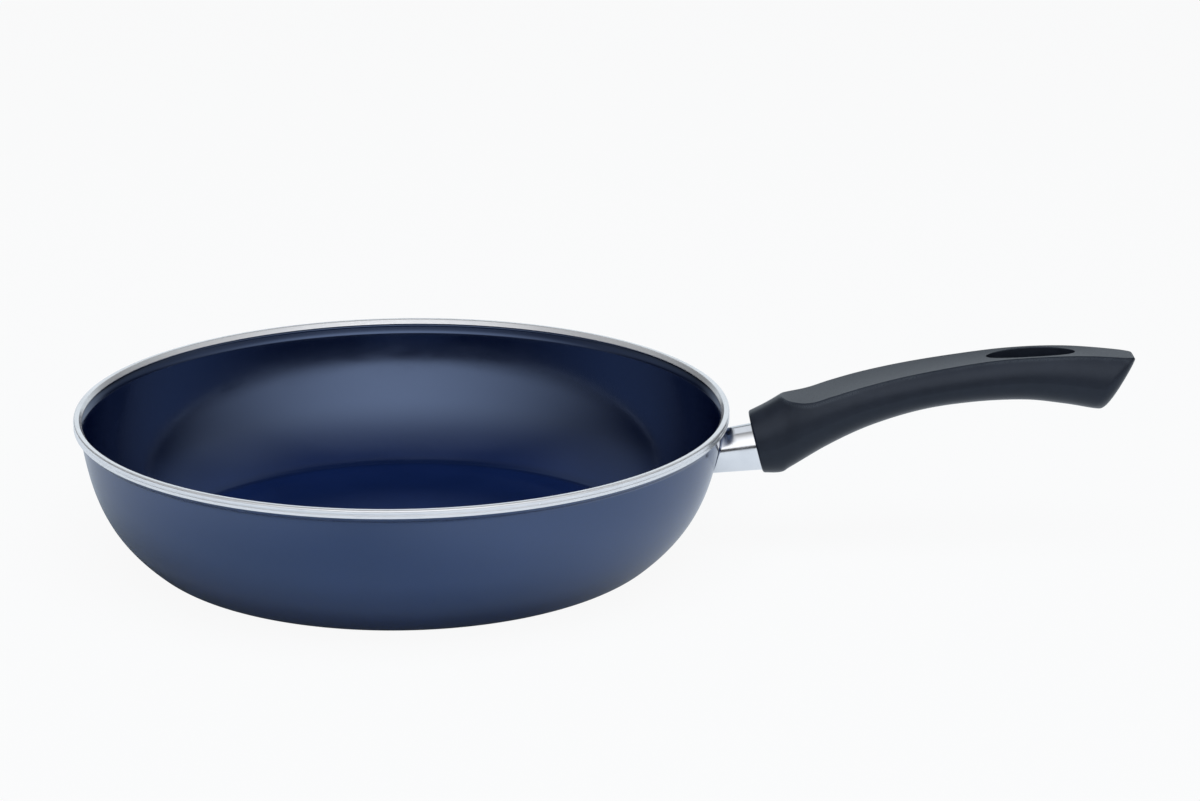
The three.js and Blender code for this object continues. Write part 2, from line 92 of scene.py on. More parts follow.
class Value:
    """A shader socket on which Python's operators add Math nodes."""

    def __init__(self, graph: "Graph", socket: bpy.types.NodeSocket) -> None:
        """Keeps the socket and the graph that it belongs to."""
        self.graph = graph
        self.socket = socket

    def math(self, operation: str, first: Any, second: Any) -> "Value":
        """Adds a Math node.

        Args:
            operation: the Math node's operation.
            first: left operand, a number or a Value.
            second: right operand, a number or a Value.

        Returns:
            The node's output.
        """
        return self.graph.node("ShaderNodeMath", {"operation": operation}, {0: first, 1: second})

    def __add__(self, other: Any) -> "Value":
        """Sum."""
        return self.math("ADD", self, other)

    def __radd__(self, other: Any) -> "Value":
        """Reflected sum."""
        return self.math("ADD", other, self)

    def __sub__(self, other: Any) -> "Value":
        """Difference."""
        return self.math("SUBTRACT", self, other)

    def __rsub__(self, other: Any) -> "Value":
        """Reflected difference."""
        return self.math("SUBTRACT", other, self)

    def __mul__(self, other: Any) -> "Value":
        """Product."""
        return self.math("MULTIPLY", self, other)

    def __rmul__(self, other: Any) -> "Value":
        """Reflected product."""
        return self.math("MULTIPLY", other, self)

    def __truediv__(self, other: Any) -> "Value":
        """Quotient."""
        return self.math("DIVIDE", self, other)

    def __rtruediv__(self, other: Any) -> "Value":
        """Reflected quotient."""
        return self.math("DIVIDE", other, self)

    def __abs__(self) -> "Value":
        """Absolute value."""
        return self.math("ABSOLUTE", self, 0.0)

    def step(self, low: float, high: float) -> "Value":
        """Smooth step.

        Args:
            low: where the step starts, at 0.
            high: where it ends, at 1. It may lie below low, for a falling step.

        Returns:
            The step's value.
        """
        rising = low < high
        sockets = {"Value": self, "From Min": min(low, high), "From Max": max(low, high)}
        sockets |= {"To Min": 0.0 if rising else 1.0, "To Max": 1.0 if rising else 0.0}
        return self.graph.node("ShaderNodeMapRange", {"interpolation_type": "SMOOTHSTEP"}, sockets)


class Graph:
    """The node tree of one material or of the world."""

    def __init__(self, tree: bpy.types.NodeTree) -> None:
        """Takes over a tree and empties it."""
        self.tree = tree
        tree.nodes.clear()

    def node(
        self,
        kind: str,
        settings: dict[str, Any] | None = None,
        sockets: dict[str | int, Any] | None = None,
        out: str | int = 0,
    ) -> Value:
        """Adds any node.

        Args:
            kind: the node's type.
            settings: its settings, set first.
            sockets: values or links of its inputs, by name or number.
            out: the output that is wanted.

        Returns:
            That output, or the first input of a node that has no output.
        """
        made = self.tree.nodes.new(kind)
        for key, value in (settings or {}).items():
            setattr(made, key, value)
        for key, value in (sockets or {}).items():
            socket = made.inputs[key]
            if isinstance(value, Value):
                self.tree.links.new(value.socket, socket)
            elif socket.type == "RGBA":
                socket.default_value = (*value, 1.0)
            else:
                socket.default_value = value
        return Value(self, made.outputs[out] if made.outputs else made.inputs[0])

    def place(self) -> Value:
        """Object coordinates in millimetres."""
        return self.stretch(self.node("ShaderNodeTexCoord", out="Object"), (1 / MM,) * 3)

    def stretch(self, vector: Value, factors: Sequence[float]) -> Value:
        """A vector with each part multiplied by its factor."""
        settings = {"operation": "MULTIPLY"}
        return self.node("ShaderNodeVectorMath", settings, {0: vector, 1: tuple(factors)})

    def part(self, vector: Value, name: str) -> Value:
        """One part of a vector, X, Y or Z."""
        return self.node("ShaderNodeSeparateXYZ", None, {0: vector}, name)

    def mix(self, share: Value | float, first: Value | Colour, second: Value | Colour) -> Value:
        """Colour mix.

        Args:
            share: 0 for the first colour, 1 for the second.
            first: a colour.
            second: a colour.

        Returns:
            The mixed colour.
        """
        sockets = dict(zip(MIX_INPUTS, (share, first, second)))
        return self.node("ShaderNodeMix", {"data_type": "RGBA"}, sockets, MIX_OUTPUT)

    def bump(self, height: Value, depth: float, normal: Value | None = None) -> Value:
        """Bump.

        Args:
            height: relief, 0 to 1.
            depth: relief in millimetres at height 1.
            normal: a relief that this one lies on.

        Returns:
            The bent normal.
        """
        sockets: dict[str, Any] = {"Height": height, "Distance": depth * MM, "Strength": 1.0}
        if normal is not None:
            sockets["Normal"] = normal
        return self.node("ShaderNodeBump", None, sockets)


def new_material(name: str) -> tuple[bpy.types.Material, Graph]:
    """A new material with its empty graph."""
    made = bpy.data.materials.new(name)
    made.use_nodes = True
    return made, Graph(made.node_tree)


def point_attribute(mesh: bpy.types.Mesh, name: str, values: Array) -> None:
    """Writes one number for each point of a mesh."""
    layer = mesh.attributes.new(name, "FLOAT", "POINT")
    layer.data.foreach_set("value", values.astype(np.float32))


@dataclass(frozen=True)
class Noise:
    """One noise of a finish.

    Attributes:
        scale: features for each unit of the place.
        detail: octaves.
        rough: strength of each octave against the one before.
        edges: where a smooth step of the noise starts and ends, if it has one.
        factors: what the place's parts are multiplied by first, if it is stretched.
    """

    scale: float
    detail: float
    rough: float = 0.5
    edges: Range | None = None
    factors: Place | None = None

    def at(self, graph: Graph, place: Value) -> Value:
        """The noise at a place, about 0.5, or its step from 0 to 1."""
        if self.factors:
            place = graph.stretch(place, self.factors)
        sockets = {"Vector": place, "Scale": self.scale, "Detail": self.detail, "Roughness": self.rough}
        value = graph.node("ShaderNodeTexNoise", None, sockets, "Fac")
        return value.step(*self.edges) if self.edges else value


class Finish:
    """What the finishes share: each gives the sockets of one Principled shader."""

    title: str = "finish"
    slot: Slot = Slot.ENAMEL

    def surface(self, graph: Graph) -> dict[str, Any]:
        """The shader's sockets."""
        raise NotImplementedError

    def material(self) -> bpy.types.Material:
        """A new material of this finish."""
        made, graph = new_material(self.title)
        shader = graph.node("ShaderNodeBsdfPrincipled", None, self.surface(graph))
        graph.node("ShaderNodeOutputMaterial", None, {"Surface": shader})
        return made


@dataclass(frozen=True)
class Enamel(Finish):
    """Glossy vitreous enamel: clouded dark blue, a faint orange peel, dust specks, a scuffed foot and
    painted shade inside the bowl.
    """

    title: str = "blue_enamel"
    slot: Slot = Slot.ENAMEL
    deep: Colour = (0.0036, 0.0112, 0.054)
    clear: Colour = (0.0044, 0.0132, 0.062)
    speck: Colour = (0.012, 0.022, 0.070)
    tint: Colour = (0.465, 0.625, 1.0)
    # How dark the painted shade makes the enamel's blue.
    shade_darkness: float = 0.34
    bending: float = 2.35
    gloss: float = 0.12
    smeared: float = 0.05
    dusty: float = 0.1
    scuffed: float = 0.30
    speck_share: float = 0.5
    foot_height: Range = (0.5, 0.1)
    ripple_depth: float = 0.035
    peel_depth: float = 0.0025
    clouds: Noise = Noise(0.03, 4.0, 0.5, (0.35, 0.65))
    specks: Noise = Noise(1.3, 1.0, 0.5, (0.74, 0.80))
    scuffs: Noise = Noise(0.35, 5.0, 0.7, (0.42, 0.62))
    smears: Noise = Noise(0.045, 5.0, 0.6, (0.4, 0.75), (1.0, 1.0, 2.5))
    ripple: Noise = Noise(0.05, 1.0)
    peel: Noise = Noise(0.55, 1.0)

    def surface(self, graph: Graph) -> dict[str, Any]:
        """Clouds colour the glass, an attribute of painted shade darkens it, smears dull it, and peel and
        ripple bend it.
        """
        at = graph.place()
        clouds, specks = self.clouds.at(graph, at), self.specks.at(graph, at)
        # Painted shade: the bowl's attribute mixes the blue towards a darker copy of itself.
        painted_shade = graph.node("ShaderNodeAttribute", {"attribute_name": "painted_shade"}, None, "Fac")
        painted_shade_colour = tuple(part * self.shade_darkness for part in self.deep)
        glass = graph.mix(painted_shade, graph.mix(clouds, self.deep, self.clear), painted_shade_colour)
        colour = graph.mix(specks * self.speck_share, glass, self.speck)
        foot = graph.part(at, "Z").step(*self.foot_height) * self.scuffs.at(graph, at)
        smears = self.smears.at(graph, at)
        dull = self.gloss + smears * self.smeared + specks * self.dusty + foot * self.scuffed
        ripple = graph.bump(self.ripple.at(graph, at), self.ripple_depth)
        peel = graph.bump(self.peel.at(graph, at), self.peel_depth, ripple)
        return {
            "Base Color": colour,
            "Roughness": dull,
            "Normal": peel,
            "IOR": self.bending,
            "Specular Tint": self.tint,
        }


@dataclass(frozen=True)
class BrightSteel(Finish):
    """Rolled stainless sheet: fine lines along the strip, handling smears and small scratches."""

    title: str = "bright_stainless"
    slot: Slot = Slot.STAINLESS
    steel: Colour = (0.92, 0.93, 0.95)
    dulled: Colour = (0.85, 0.86, 0.89)
    polish: float = 0.14
    metal: float = 0.70
    smeared: float = 0.07
    lined: float = 0.06
    nicked: float = 0.12
    smear_share: float = 0.55
    line_share: float = 0.35
    line_edges: Range = (0.4, 0.7)
    line_depth: float = 0.0012
    lines: Noise = Noise(1.0, 4.0, 0.65, None, (30.0, 9.0, 1.0))
    smears: Noise = Noise(0.11, 4.0, 0.6, (0.38, 0.72))
    nicks: Noise = Noise(1.0, 2.0, 0.5, (0.72, 0.78), (220.0, 2.2, 1.0))

    def surface(self, graph: Graph) -> dict[str, Any]:
        """Lines follow the piece's own map: U round the strip, V across it in millimetres."""
        strip = graph.node("ShaderNodeTexCoord", out="UV")
        lines, nicks = self.lines.at(graph, strip), self.nicks.at(graph, strip)
        smears = self.smears.at(graph, graph.place())
        tone = smears * self.smear_share + lines.step(*self.line_edges) * self.line_share
        dull = self.polish + smears * self.smeared + lines * self.lined + nicks * self.nicked
        return {
            "Base Color": graph.mix(tone, self.steel, self.dulled),
            "Metallic": self.metal,
            "Roughness": dull,
            "Normal": graph.bump(lines, self.line_depth),
        }


@dataclass(frozen=True)
class Phenolic(Finish):
    """Matte phenolic moulding: fine pitted grain, faint mottling, edges rubbed smoother, and a painted
    highlight that makes those edges paler.
    """

    title: str = "dark_phenolic"
    slot: Slot = Slot.PHENOLIC
    dark: Colour = (0.0064, 0.0084, 0.0142)
    light: Colour = (0.0083, 0.0107, 0.0178)
    # Colour of the rubbed crease: wear and a painted highlight.
    rubbed_highlight: Colour = (0.030, 0.0370, 0.047)
    tint: Colour = (0.74, 0.84, 1.0)
    bending: float = 1.48
    matte: float = 0.29
    pitted: float = 0.1
    pit_edges: Range = (0.3, 0.7)
    smoothed: float = 0.06
    rubbed_highlight_share: float = 0.6
    least_wear_and_highlight: float = 0.5
    grain_depth: float = 0.02
    grain: Noise = Noise(2.4, 3.0, 0.6)
    mottle: Noise = Noise(0.16, 4.0, 0.6, (0.36, 0.66))
    patches: Noise = Noise(0.12, 3.0, 0.5, (0.35, 0.65))

    def surface(self, graph: Graph) -> dict[str, Any]:
        """Grain pits the surface, mottling shades it, and the edge attribute marks where hands rub and
        where a highlight is painted.
        """
        at = graph.place()
        edge = graph.node("ShaderNodeAttribute", {"attribute_name": "edge"}, None, "Fac")
        grain = self.grain.at(graph, at)
        # Rubbed wear and painted highlight along the crease: paler and smoother.
        wear_and_highlight = edge * (self.least_wear_and_highlight + (1 - self.least_wear_and_highlight) * self.patches.at(graph, at))
        shade = graph.mix(self.mottle.at(graph, at), self.dark, self.light)
        return {
            "Base Color": graph.mix(wear_and_highlight * self.rubbed_highlight_share, shade, self.rubbed_highlight),
            "Roughness": self.matte + grain.step(*self.pit_edges) * self.pitted - wear_and_highlight * self.smoothed,
            "Normal": graph.bump(grain, self.grain_depth),
            "IOR": self.bending,
            "Specular Tint": self.tint,
        }


@dataclass(frozen=True)
class ZincPlate(Finish):
    """Zinc-plated steel: a cool spangle with darker patches."""

    title: str = "zinc_plate"
    slot: Slot = Slot.ZINC
    bright: Colour = (0.62, 0.64, 0.66)
    dim: Colour = (0.44, 0.45, 0.46)
    satin: float = 0.28
    dulled: float = 0.14
    grain_depth: float = 0.004
    patches: Noise = Noise(0.5, 4.0, 0.5, (0.4, 0.65))
    grain: Noise = Noise(5.0, 2.0)

    def surface(self, graph: Graph) -> dict[str, Any]:
        """Patches dim and dull the plating, and a fine grain pits it."""
        at = graph.place()
        patches = self.patches.at(graph, at)
        return {
            "Base Color": graph.mix(patches, self.bright, self.dim),
            "Metallic": 1.0,
            "Roughness": self.satin + patches * self.dulled,
            "Normal": graph.bump(self.grain.at(graph, at), self.grain_depth),
        }


@dataclass(frozen=True)
class DarkBracket(Enamel):
    """The bowl's enamel on the hidden bracket, with the thicker, duller glaze of an inside edge."""

    title: str = "bracket_enamel"
    gloss: float = 0.16


@dataclass
class Skin:
    """A surface given as rings of points.

    Attributes:
        rings: points in millimetres, as rows of rings, each with the same number of points.
        ends: how the skin is closed.
    """

    rings: Array
    ends: Ends = Ends.POLES

    def faces(self) -> tuple[Array, Array]:
        """Quads between neighbouring rings, and the triangles of the poles.

        Returns:
            Arrays of four and of three point numbers.
        """
        rows, around = self.rings.shape[:2]
        number = np.arange(rows * around).reshape(rows, around)
        if self.ends is Ends.JOINED:
            number = np.vstack([number, number[:1]])
        here, there = number[:-1], number[1:]
        quads = np.stack([here, np.roll(here, -1, 1), np.roll(there, -1, 1), there], -1)
        fans = np.zeros((0, 3), int)
        if self.ends is Ends.POLES:
            first, last = number[0], number[-1]
            start = np.full(around, rows * around)
            fans = np.vstack(
                [
                    np.stack([start, np.roll(first, -1), first], -1),
                    np.stack([start + 1, last, np.roll(last, -1)], -1),
                ]
            )
        return quads.reshape(-1, 4), fans

    def mesh(self, name: str) -> bpy.types.Mesh:
        """Writes the skin as a mesh in metres, faces outwards, with a map of turns and millimetres.

        Args:
            name: the mesh's name.

        Returns:
            The mesh, smooth shaded.
        """
        points = self.rings.reshape(-1, 3)
        if self.ends is Ends.POLES:
            points = np.vstack([points, self.rings[[0, -1]].mean(1)])
        quads, fans = self.faces()
        corners = np.vstack([quads[:, :3], quads[:, [0, 2, 3]], fans])
        a, b, c = (points[corners[:, i]] for i in range(3))
        if np.einsum("ij,ij->", a, np.cross(b, c)) < 0:
            quads, fans = quads[:, ::-1], fans[:, ::-1]
        loops = np.concatenate([quads.ravel(), fans.ravel()])
        starts = np.concatenate(
            [np.arange(len(quads)) * 4, len(quads) * 4 + np.arange(len(fans)) * 3]
        )
        made = bpy.data.meshes.new(name)
        made.vertices.add(len(points))
        made.vertices.foreach_set("co", (points * MM).astype(np.float32).ravel())
        made.loops.add(len(loops))
        made.loops.foreach_set("vertex_index", loops.astype(np.int32))
        made.polygons.add(len(starts))
        made.polygons.foreach_set("loop_start", starts.astype(np.int32))
        made.update(calc_edges=True)
        made.validate()
        made.shade_smooth()
        self._map(made, quads, fans)
        return made

    def _map(self, mesh: bpy.types.Mesh, quads: Array, fans: Array) -> None:
        """Writes the map: U is the share of a turn, V the length across the rings in millimetres.

        Args:
            mesh: the mesh to map.
            quads: its quads.
            fans: its pole triangles.
        """
        rows, around = self.rings.shape[:2]
        steps = np.linalg.norm(np.diff(self.rings, axis=0), axis=-1).mean(1)
        across = np.concatenate([[0.0], np.cumsum(steps)])
        across = np.concatenate([across, across[[0, -1]]])
        size = rows * around
        row_of = np.minimum(np.arange(size + 2) // around, rows)
        row_of[size:] = [rows, rows + 1]
        turn_of = np.arange(size + 2) % around / around

        def corner_map(faces: Array) -> Array:
            """U and V of each corner, with the seam's far corners moved on by a whole turn."""
            turn = turn_of[faces]
            turn = np.where(turn.max(1, keepdims=True) - turn > 0.5, turn + 1.0, turn)
            return np.stack([turn, across[row_of[faces]]], -1).reshape(-1, 2)

        layer = mesh.uv_layers.new(name="strip")
        flat = np.vstack([corner_map(quads), corner_map(fans)]).astype(np.float32)
        layer.data.foreach_set("uv", flat.ravel())


def pairs(first: Array | float, second: Array | float) -> Array:
    """Points of a flat line from its two coordinates, either of which may be one number for all."""
    return np.stack(np.broadcast_arrays(first, second), -1)


def full_turn(count: int) -> Array:
    """Even angles round a whole turn, from 0."""
    return 2 * np.pi * np.arange(count) / count


def lathe(profile: Array, around: int) -> Array:
    """A profile turned about Z.

    Args:
        profile: radius and height of each point.
        around: points in a turn.

    Returns:
        Rings: each profile point at (r cos a, r sin a, z) for angles a round the turn.
    """
    angle = full_turn(around)
    radius, height = profile[:, :1], profile[:, 1:]
    return np.stack([radius * np.cos(angle), radius * np.sin(angle), height + 0 * angle], -1)


def bezier(points: Sequence[Sequence[float]], count: int) -> tuple[Array, Array]:
    """A cubic curve with its direction.

    Args:
        points: its two ends and the two handles between them.
        count: points on the curve.

    Returns:
        Points by Bernstein's sum of (1-t)^(3-k) t^k, and unit tangents by its derivative.
    """
    p = np.asarray(points, float)
    t = np.linspace(0.0, 1.0, count)[:, None]
    curve = (1 - t) ** 3 * p[0] + 3 * (1 - t) ** 2 * t * p[1] + 3 * (1 - t) * t**2 * p[2] + t**3 * p[3]
    slope = (1 - t) ** 2 * (p[1] - p[0]) + 2 * (1 - t) * t * (p[2] - p[1]) + t**2 * (p[3] - p[2])
    return curve, slope / np.linalg.norm(slope, axis=1, keepdims=True)


def coat_with(piece: bpy.types.Object, finish: Finish) -> None:
    """Gives a piece its one finish."""
    piece.data.materials.clear()
    piece.data.materials.append(finish.material())


def add_piece(name: str, mesh: bpy.types.Mesh, finish: Finish, nodes: Sequence[str]) -> bpy.types.Object:
    """Puts a finished mesh in the scene in place of CAD nodes.

    Args:
        name: the piece's name.
        mesh: its mesh.
        finish: its finish.
        nodes: the nodes that it stands for.

    Returns:
        The piece.
    """
    piece = bpy.data.objects.new(name, mesh)
    bpy.context.scene.collection.objects.link(piece)
    coat_with(piece, finish)
    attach(piece, "root")
    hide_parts(*nodes)
    log.info("%s: %d faces, stands for %s", name, len(mesh.polygons), ", ".join(nodes))
    return piece


def sheet(name: str, corners: Sequence[Place]) -> bpy.types.Mesh:
    """A flat mesh of one face, from its four corners in metres."""
    made = bpy.data.meshes.new(name)
    made.from_pydata(corners, [], [(0, 1, 2, 3)])
    return made


def carve(mesh: bpy.types.Mesh, tools: Sequence[bpy.types.Mesh], sharp: float) -> bpy.types.Mesh:
    """Cuts closed tools out of a closed mesh.

    Args:
        mesh: what is cut.
        tools: what is taken out.
        sharp: the angle between two faces from which their edge is sharp.

    Returns:
        The cut mesh, with sharp edges where two faces meet steeply.
    """
    scene = bpy.context.scene.collection.objects
    body = bpy.data.objects.new("blank", mesh)
    scene.link(body)
    cutters = [bpy.data.objects.new("cutter", tool) for tool in tools]
    for cutter in cutters:
        scene.link(cutter)
        cut = body.modifiers.new("cut", "BOOLEAN")
        cut.operation = "DIFFERENCE"
        cut.solver = "EXACT"
        cut.object = cutter
    graph = bpy.context.evaluated_depsgraph_get()
    made = bpy.data.meshes.new_from_object(body.evaluated_get(graph))
    for left in [body, *cutters]:
        bpy.data.objects.remove(left)
    made.shade_smooth()
    made.set_sharp_from_angle(angle=math.radians(sharp))
    return made


@dataclass
class Bowl:
    """The bowl: one pressed sheet with a rounded base corner, a bellied wall and a flared lip."""

    rim_diameter: float = 282.0
    height: float = 63.8
    base_diameter: float = 204.0
    wall: float = 1.6
    corner_radius: float = 17.6
    corner_angle: float = 41.0
    corner_inside: float = 7.0
    wall_lean: float = 7.3
    ease_low: float = 0.35
    ease_high: float = 0.44
    flare_reach: float = 2.3
    flare_height: float = 3.8
    flare_ease: float = 0.36
    ring_sheet: float = 0.4
    ring_gap: float = 0.1
    ring_inner_leg: float = 2.6
    lip_runout: float = 0.2
    # Painted shade: heights on the inner face, the share of painted shade at each, and the share on the
    # outer face.
    painted_shade_heights: tuple[float, ...] = (1.6, 1.9, 3.2, 4.8, 22.0)
    painted_shade_inside: tuple[float, ...] = (0.0, 0.4, 0.4, 0.1, 1.0)
    painted_shade_outside: float = 0.2
    flat_points: int = 12
    corner_points: int = 22
    run_points: int = 7
    wall_points: int = 52
    flare_points: int = 26
    upright_points: int = 4
    lip_points: int = 14
    around: int = 256

    @property
    def lip_radius(self) -> float:
        """Radius of the sheet's middle at the lip."""
        return self.rim_diameter / 2 - self.ring_sheet - self.ring_gap - self.wall / 2

    @property
    def lip_middle(self) -> float:
        """Height of the middle of the lip's half round."""
        return self.height - self.ring_sheet - self.ring_gap - self.wall / 2

    def middle_line(self) -> tuple[Array, Array]:
        """The sheet's middle line: flat base, corner arc, wall curve, flare curve and upright lip.

        Returns:
            Points (radius, height), and unit normals that point out of the bowl.
        """
        half = self.wall / 2
        bend = self.corner_radius - half
        base = self.base_diameter / 2
        turned, lean = math.radians(self.corner_angle), math.radians(self.wall_lean)
        flat = pairs(np.linspace(0.0, base, self.flat_points), half)
        angle = np.linspace(-math.pi / 2, turned - math.pi / 2, self.corner_points)
        arc = pairs(base + bend * np.cos(angle), half + bend * (1 + np.sin(angle)))
        arc_way = pairs(-np.sin(angle), np.cos(angle))
        flare_top = self.height - self.ring_inner_leg - self.lip_runout
        neck = np.array([self.lip_radius - self.flare_reach, flare_top - self.flare_height])
        chord = np.linalg.norm(neck - arc[-1])
        rise = np.array([math.sin(lean), math.cos(lean)])
        low_handle = arc[-1] + arc_way[-1] * self.ease_low * chord
        high_handle = neck - rise * self.ease_high * chord
        wall, wall_way = bezier([arc[-1], low_handle, high_handle, neck], self.wall_points)
        lip = np.array([self.lip_radius, flare_top])
        reach = self.flare_ease * self.flare_height
        handles = [neck + rise * reach, lip - [0.0, reach]]
        flare, flare_way = bezier([neck, *handles, lip], self.flare_points)
        upright = pairs(lip[0], np.linspace(flare_top, self.lip_middle, self.upright_points))
        line = np.vstack([flat[:-1], arc, wall[1:], flare[1:], upright[1:]])
        flat_way, upright_way = 0 * flat + [1.0, 0.0], 0 * upright + [0.0, 1.0]
        way = np.vstack([flat_way[1:], arc_way, wall_way[1:], flare_way[1:], upright_way[1:]])
        return line, pairs(way[:, 1], -way[:, 0])

    def outer_radius(self, height: Array, grow: float) -> Array:
        """Radius of the outer face, moved outwards by a distance, at heights on the wall."""
        line, normal = self.middle_line()
        face = line + normal * (self.wall / 2 + grow)
        return np.interp(height, face[:, 1], face[:, 0])

    def inner_corner(self) -> Array:
        """The inner floor and its corner, which is tighter than the outer one and runs on straight.

        Returns:
            Points (radius, height) from the middle of the floor to the place where the outer corner ends.
        """
        turned = math.radians(self.corner_angle)
        outer, inner = self.corner_radius - self.wall, self.corner_inside
        edge = self.base_diameter / 2 + (outer - inner) * math.tan(turned / 2)
        angle = np.linspace(-math.pi / 2, turned - math.pi / 2, self.corner_points)
        flat = pairs(np.linspace(0.0, edge, self.flat_points), self.wall)
        arc = pairs(edge + inner * np.cos(angle), self.wall + inner * (1 + np.sin(angle)))
        run = (outer - inner) * math.tan(turned / 2) * np.linspace(0.0, 1.0, self.run_points)[1:, None]
        return np.vstack([flat[:-1], arc, arc[-1] + run * [math.cos(turned), math.sin(turned)]])

    def build(self) -> bpy.types.Mesh:
        """The outer face, the half-round lip and the inner face, turned about Z as one closed skin.

        Returns:
            The bowl's mesh. Its painted-shade attribute is high where shade is painted: fully up the inner
            wall, partly in the inner corner, and a little on the outer face.
        """
        line, normal = self.middle_line()
        half = self.wall / 2
        angle = np.linspace(0.0, math.pi, self.lip_points)[1:-1]
        lip = pairs(self.lip_radius + half * np.cos(angle), self.lip_middle + half * np.sin(angle))
        outside, inside = line + normal * half, line - normal * half
        inside = np.vstack([self.inner_corner(), inside[self.flat_points - 1 + self.corner_points :]])
        profile = np.vstack([outside[1:], lip, inside[:0:-1]])
        made = Skin(lathe(profile, self.around)).mesh("bowl")
        # Painted shade, fully up the inner wall, partly in the inner corner and a little on the outer
        # face.
        share = np.interp(profile[:, 1], self.painted_shade_heights, self.painted_shade_inside)
        share = np.where(np.arange(len(profile)) < len(outside) - 1, self.painted_shade_outside, share)
        painted_shade = np.concatenate([np.repeat(share, self.around), [0.0, 0.0]])
        point_attribute(made, "painted_shade", painted_shade)
        return made

    def dress(self, finish: Finish) -> None:
        """Puts the bowl in place of its node."""
        add_piece("bowl", self.build(), finish, ["pan_body"])


@dataclass
class RimRing:
    """The rim ring: a thin channel crimped over the lip, with a bead on top and hemmed feet."""

    bowl: Bowl
    outer_leg: float = 3.6
    inner_leg: float = 2.2
    inner_lean: float = 35.0
    squareness: float = 3.6
    crease: float = 0.10
    crease_drop: float = 2.0
    crease_width: float = 0.28
    bead_points: int = 30
    outer_points: int = 26
    inner_points: int = 10
    foot_points: int = 9
    around: int = 320

    def build(self) -> bpy.types.Mesh:
        """The channel's middle line, given thickness and rounded feet, and turned about Z.

        Returns:
            The ring's mesh. The bead is a superellipse |x|^n + |z|^n = reach^n, found from its normals,
            and the outer leg is drawn in by a bell curve exp(-(dz/width)^2) below it.
        """
        bowl = self.bowl
        half = bowl.ring_sheet / 2
        reach = bowl.wall / 2 + bowl.ring_gap + half
        middle = bowl.lip_middle
        outer_foot = bowl.height - self.outer_leg + half
        inner_foot = bowl.height - self.inner_leg + half
        lean = math.radians(self.inner_lean)
        angle = np.linspace(0.0, math.pi - lean, self.bead_points)
        around = pairs(np.cos(angle), np.sin(angle))
        square = np.sign(around) * np.abs(around) ** (1 / (self.squareness - 1))
        span = np.sum(np.abs(square) ** self.squareness, axis=-1, keepdims=True)
        bead = np.array([bowl.lip_radius, middle]) + reach * square / span ** (1 / self.squareness)
        up = np.linspace(outer_foot, middle, self.outer_points)[:-1]
        down = np.linspace(bead[-1, 1], inner_foot, self.inner_points)[1:]
        outer = pairs(bowl.lip_radius + reach, up)
        inner = pairs(bead[-1, 0] - (bead[-1, 1] - down) * math.tan(lean), down)
        line = np.vstack([outer, bead, inner])
        normal = np.vstack([0 * outer + [1.0, 0.0], around, 0 * inner + around[-1]])
        turn = np.linspace(0.0, math.pi, self.foot_points)[1:-1]
        foot = -half * pairs(np.cos(turn), np.sin(turn))
        outside, inside = line + normal * half, line - normal * half
        section = np.vstack([outside, line[-1] + foot, inside[::-1], line[0] + foot])
        below = bowl.height - self.crease_drop - section[:, 1]
        drawn = self.crease * np.exp(-((below / self.crease_width) ** 2))
        section[:, 0] -= np.where(section[:, 0] > bowl.lip_radius, drawn, 0.0)
        return Skin(lathe(section, self.around), Ends.JOINED).mesh("rim_ring")

    def dress(self, finish: Finish) -> None:
        """Puts the ring in place of its node."""
        add_piece("crimped_rim", self.build(), finish, ["rim_ring"])


@dataclass
class HandleAxis:
    """The line that the handle is drawn up along: it leaves the wall and rises outwards."""

    root: float = 135.8153
    height: float = 43.0
    tilt: float = 8.0

    def points(self, along: Array | float, across: Array | float, up: Array | float) -> Array:
        """Places on the axis, as points of the pan.

        Args:
            along: distance from the wall along the axis.
            across: distance to the left of it.
            up: distance above it.

        Returns:
            Points, turned by the tilt about Y and moved to the axis's root.
        """
        turn = math.radians(self.tilt)
        x = self.root + along * math.cos(turn) - up * math.sin(turn)
        z = self.height + along * math.sin(turn) + up * math.cos(turn)
        return np.stack(np.broadcast_arrays(x, across, z), -1)


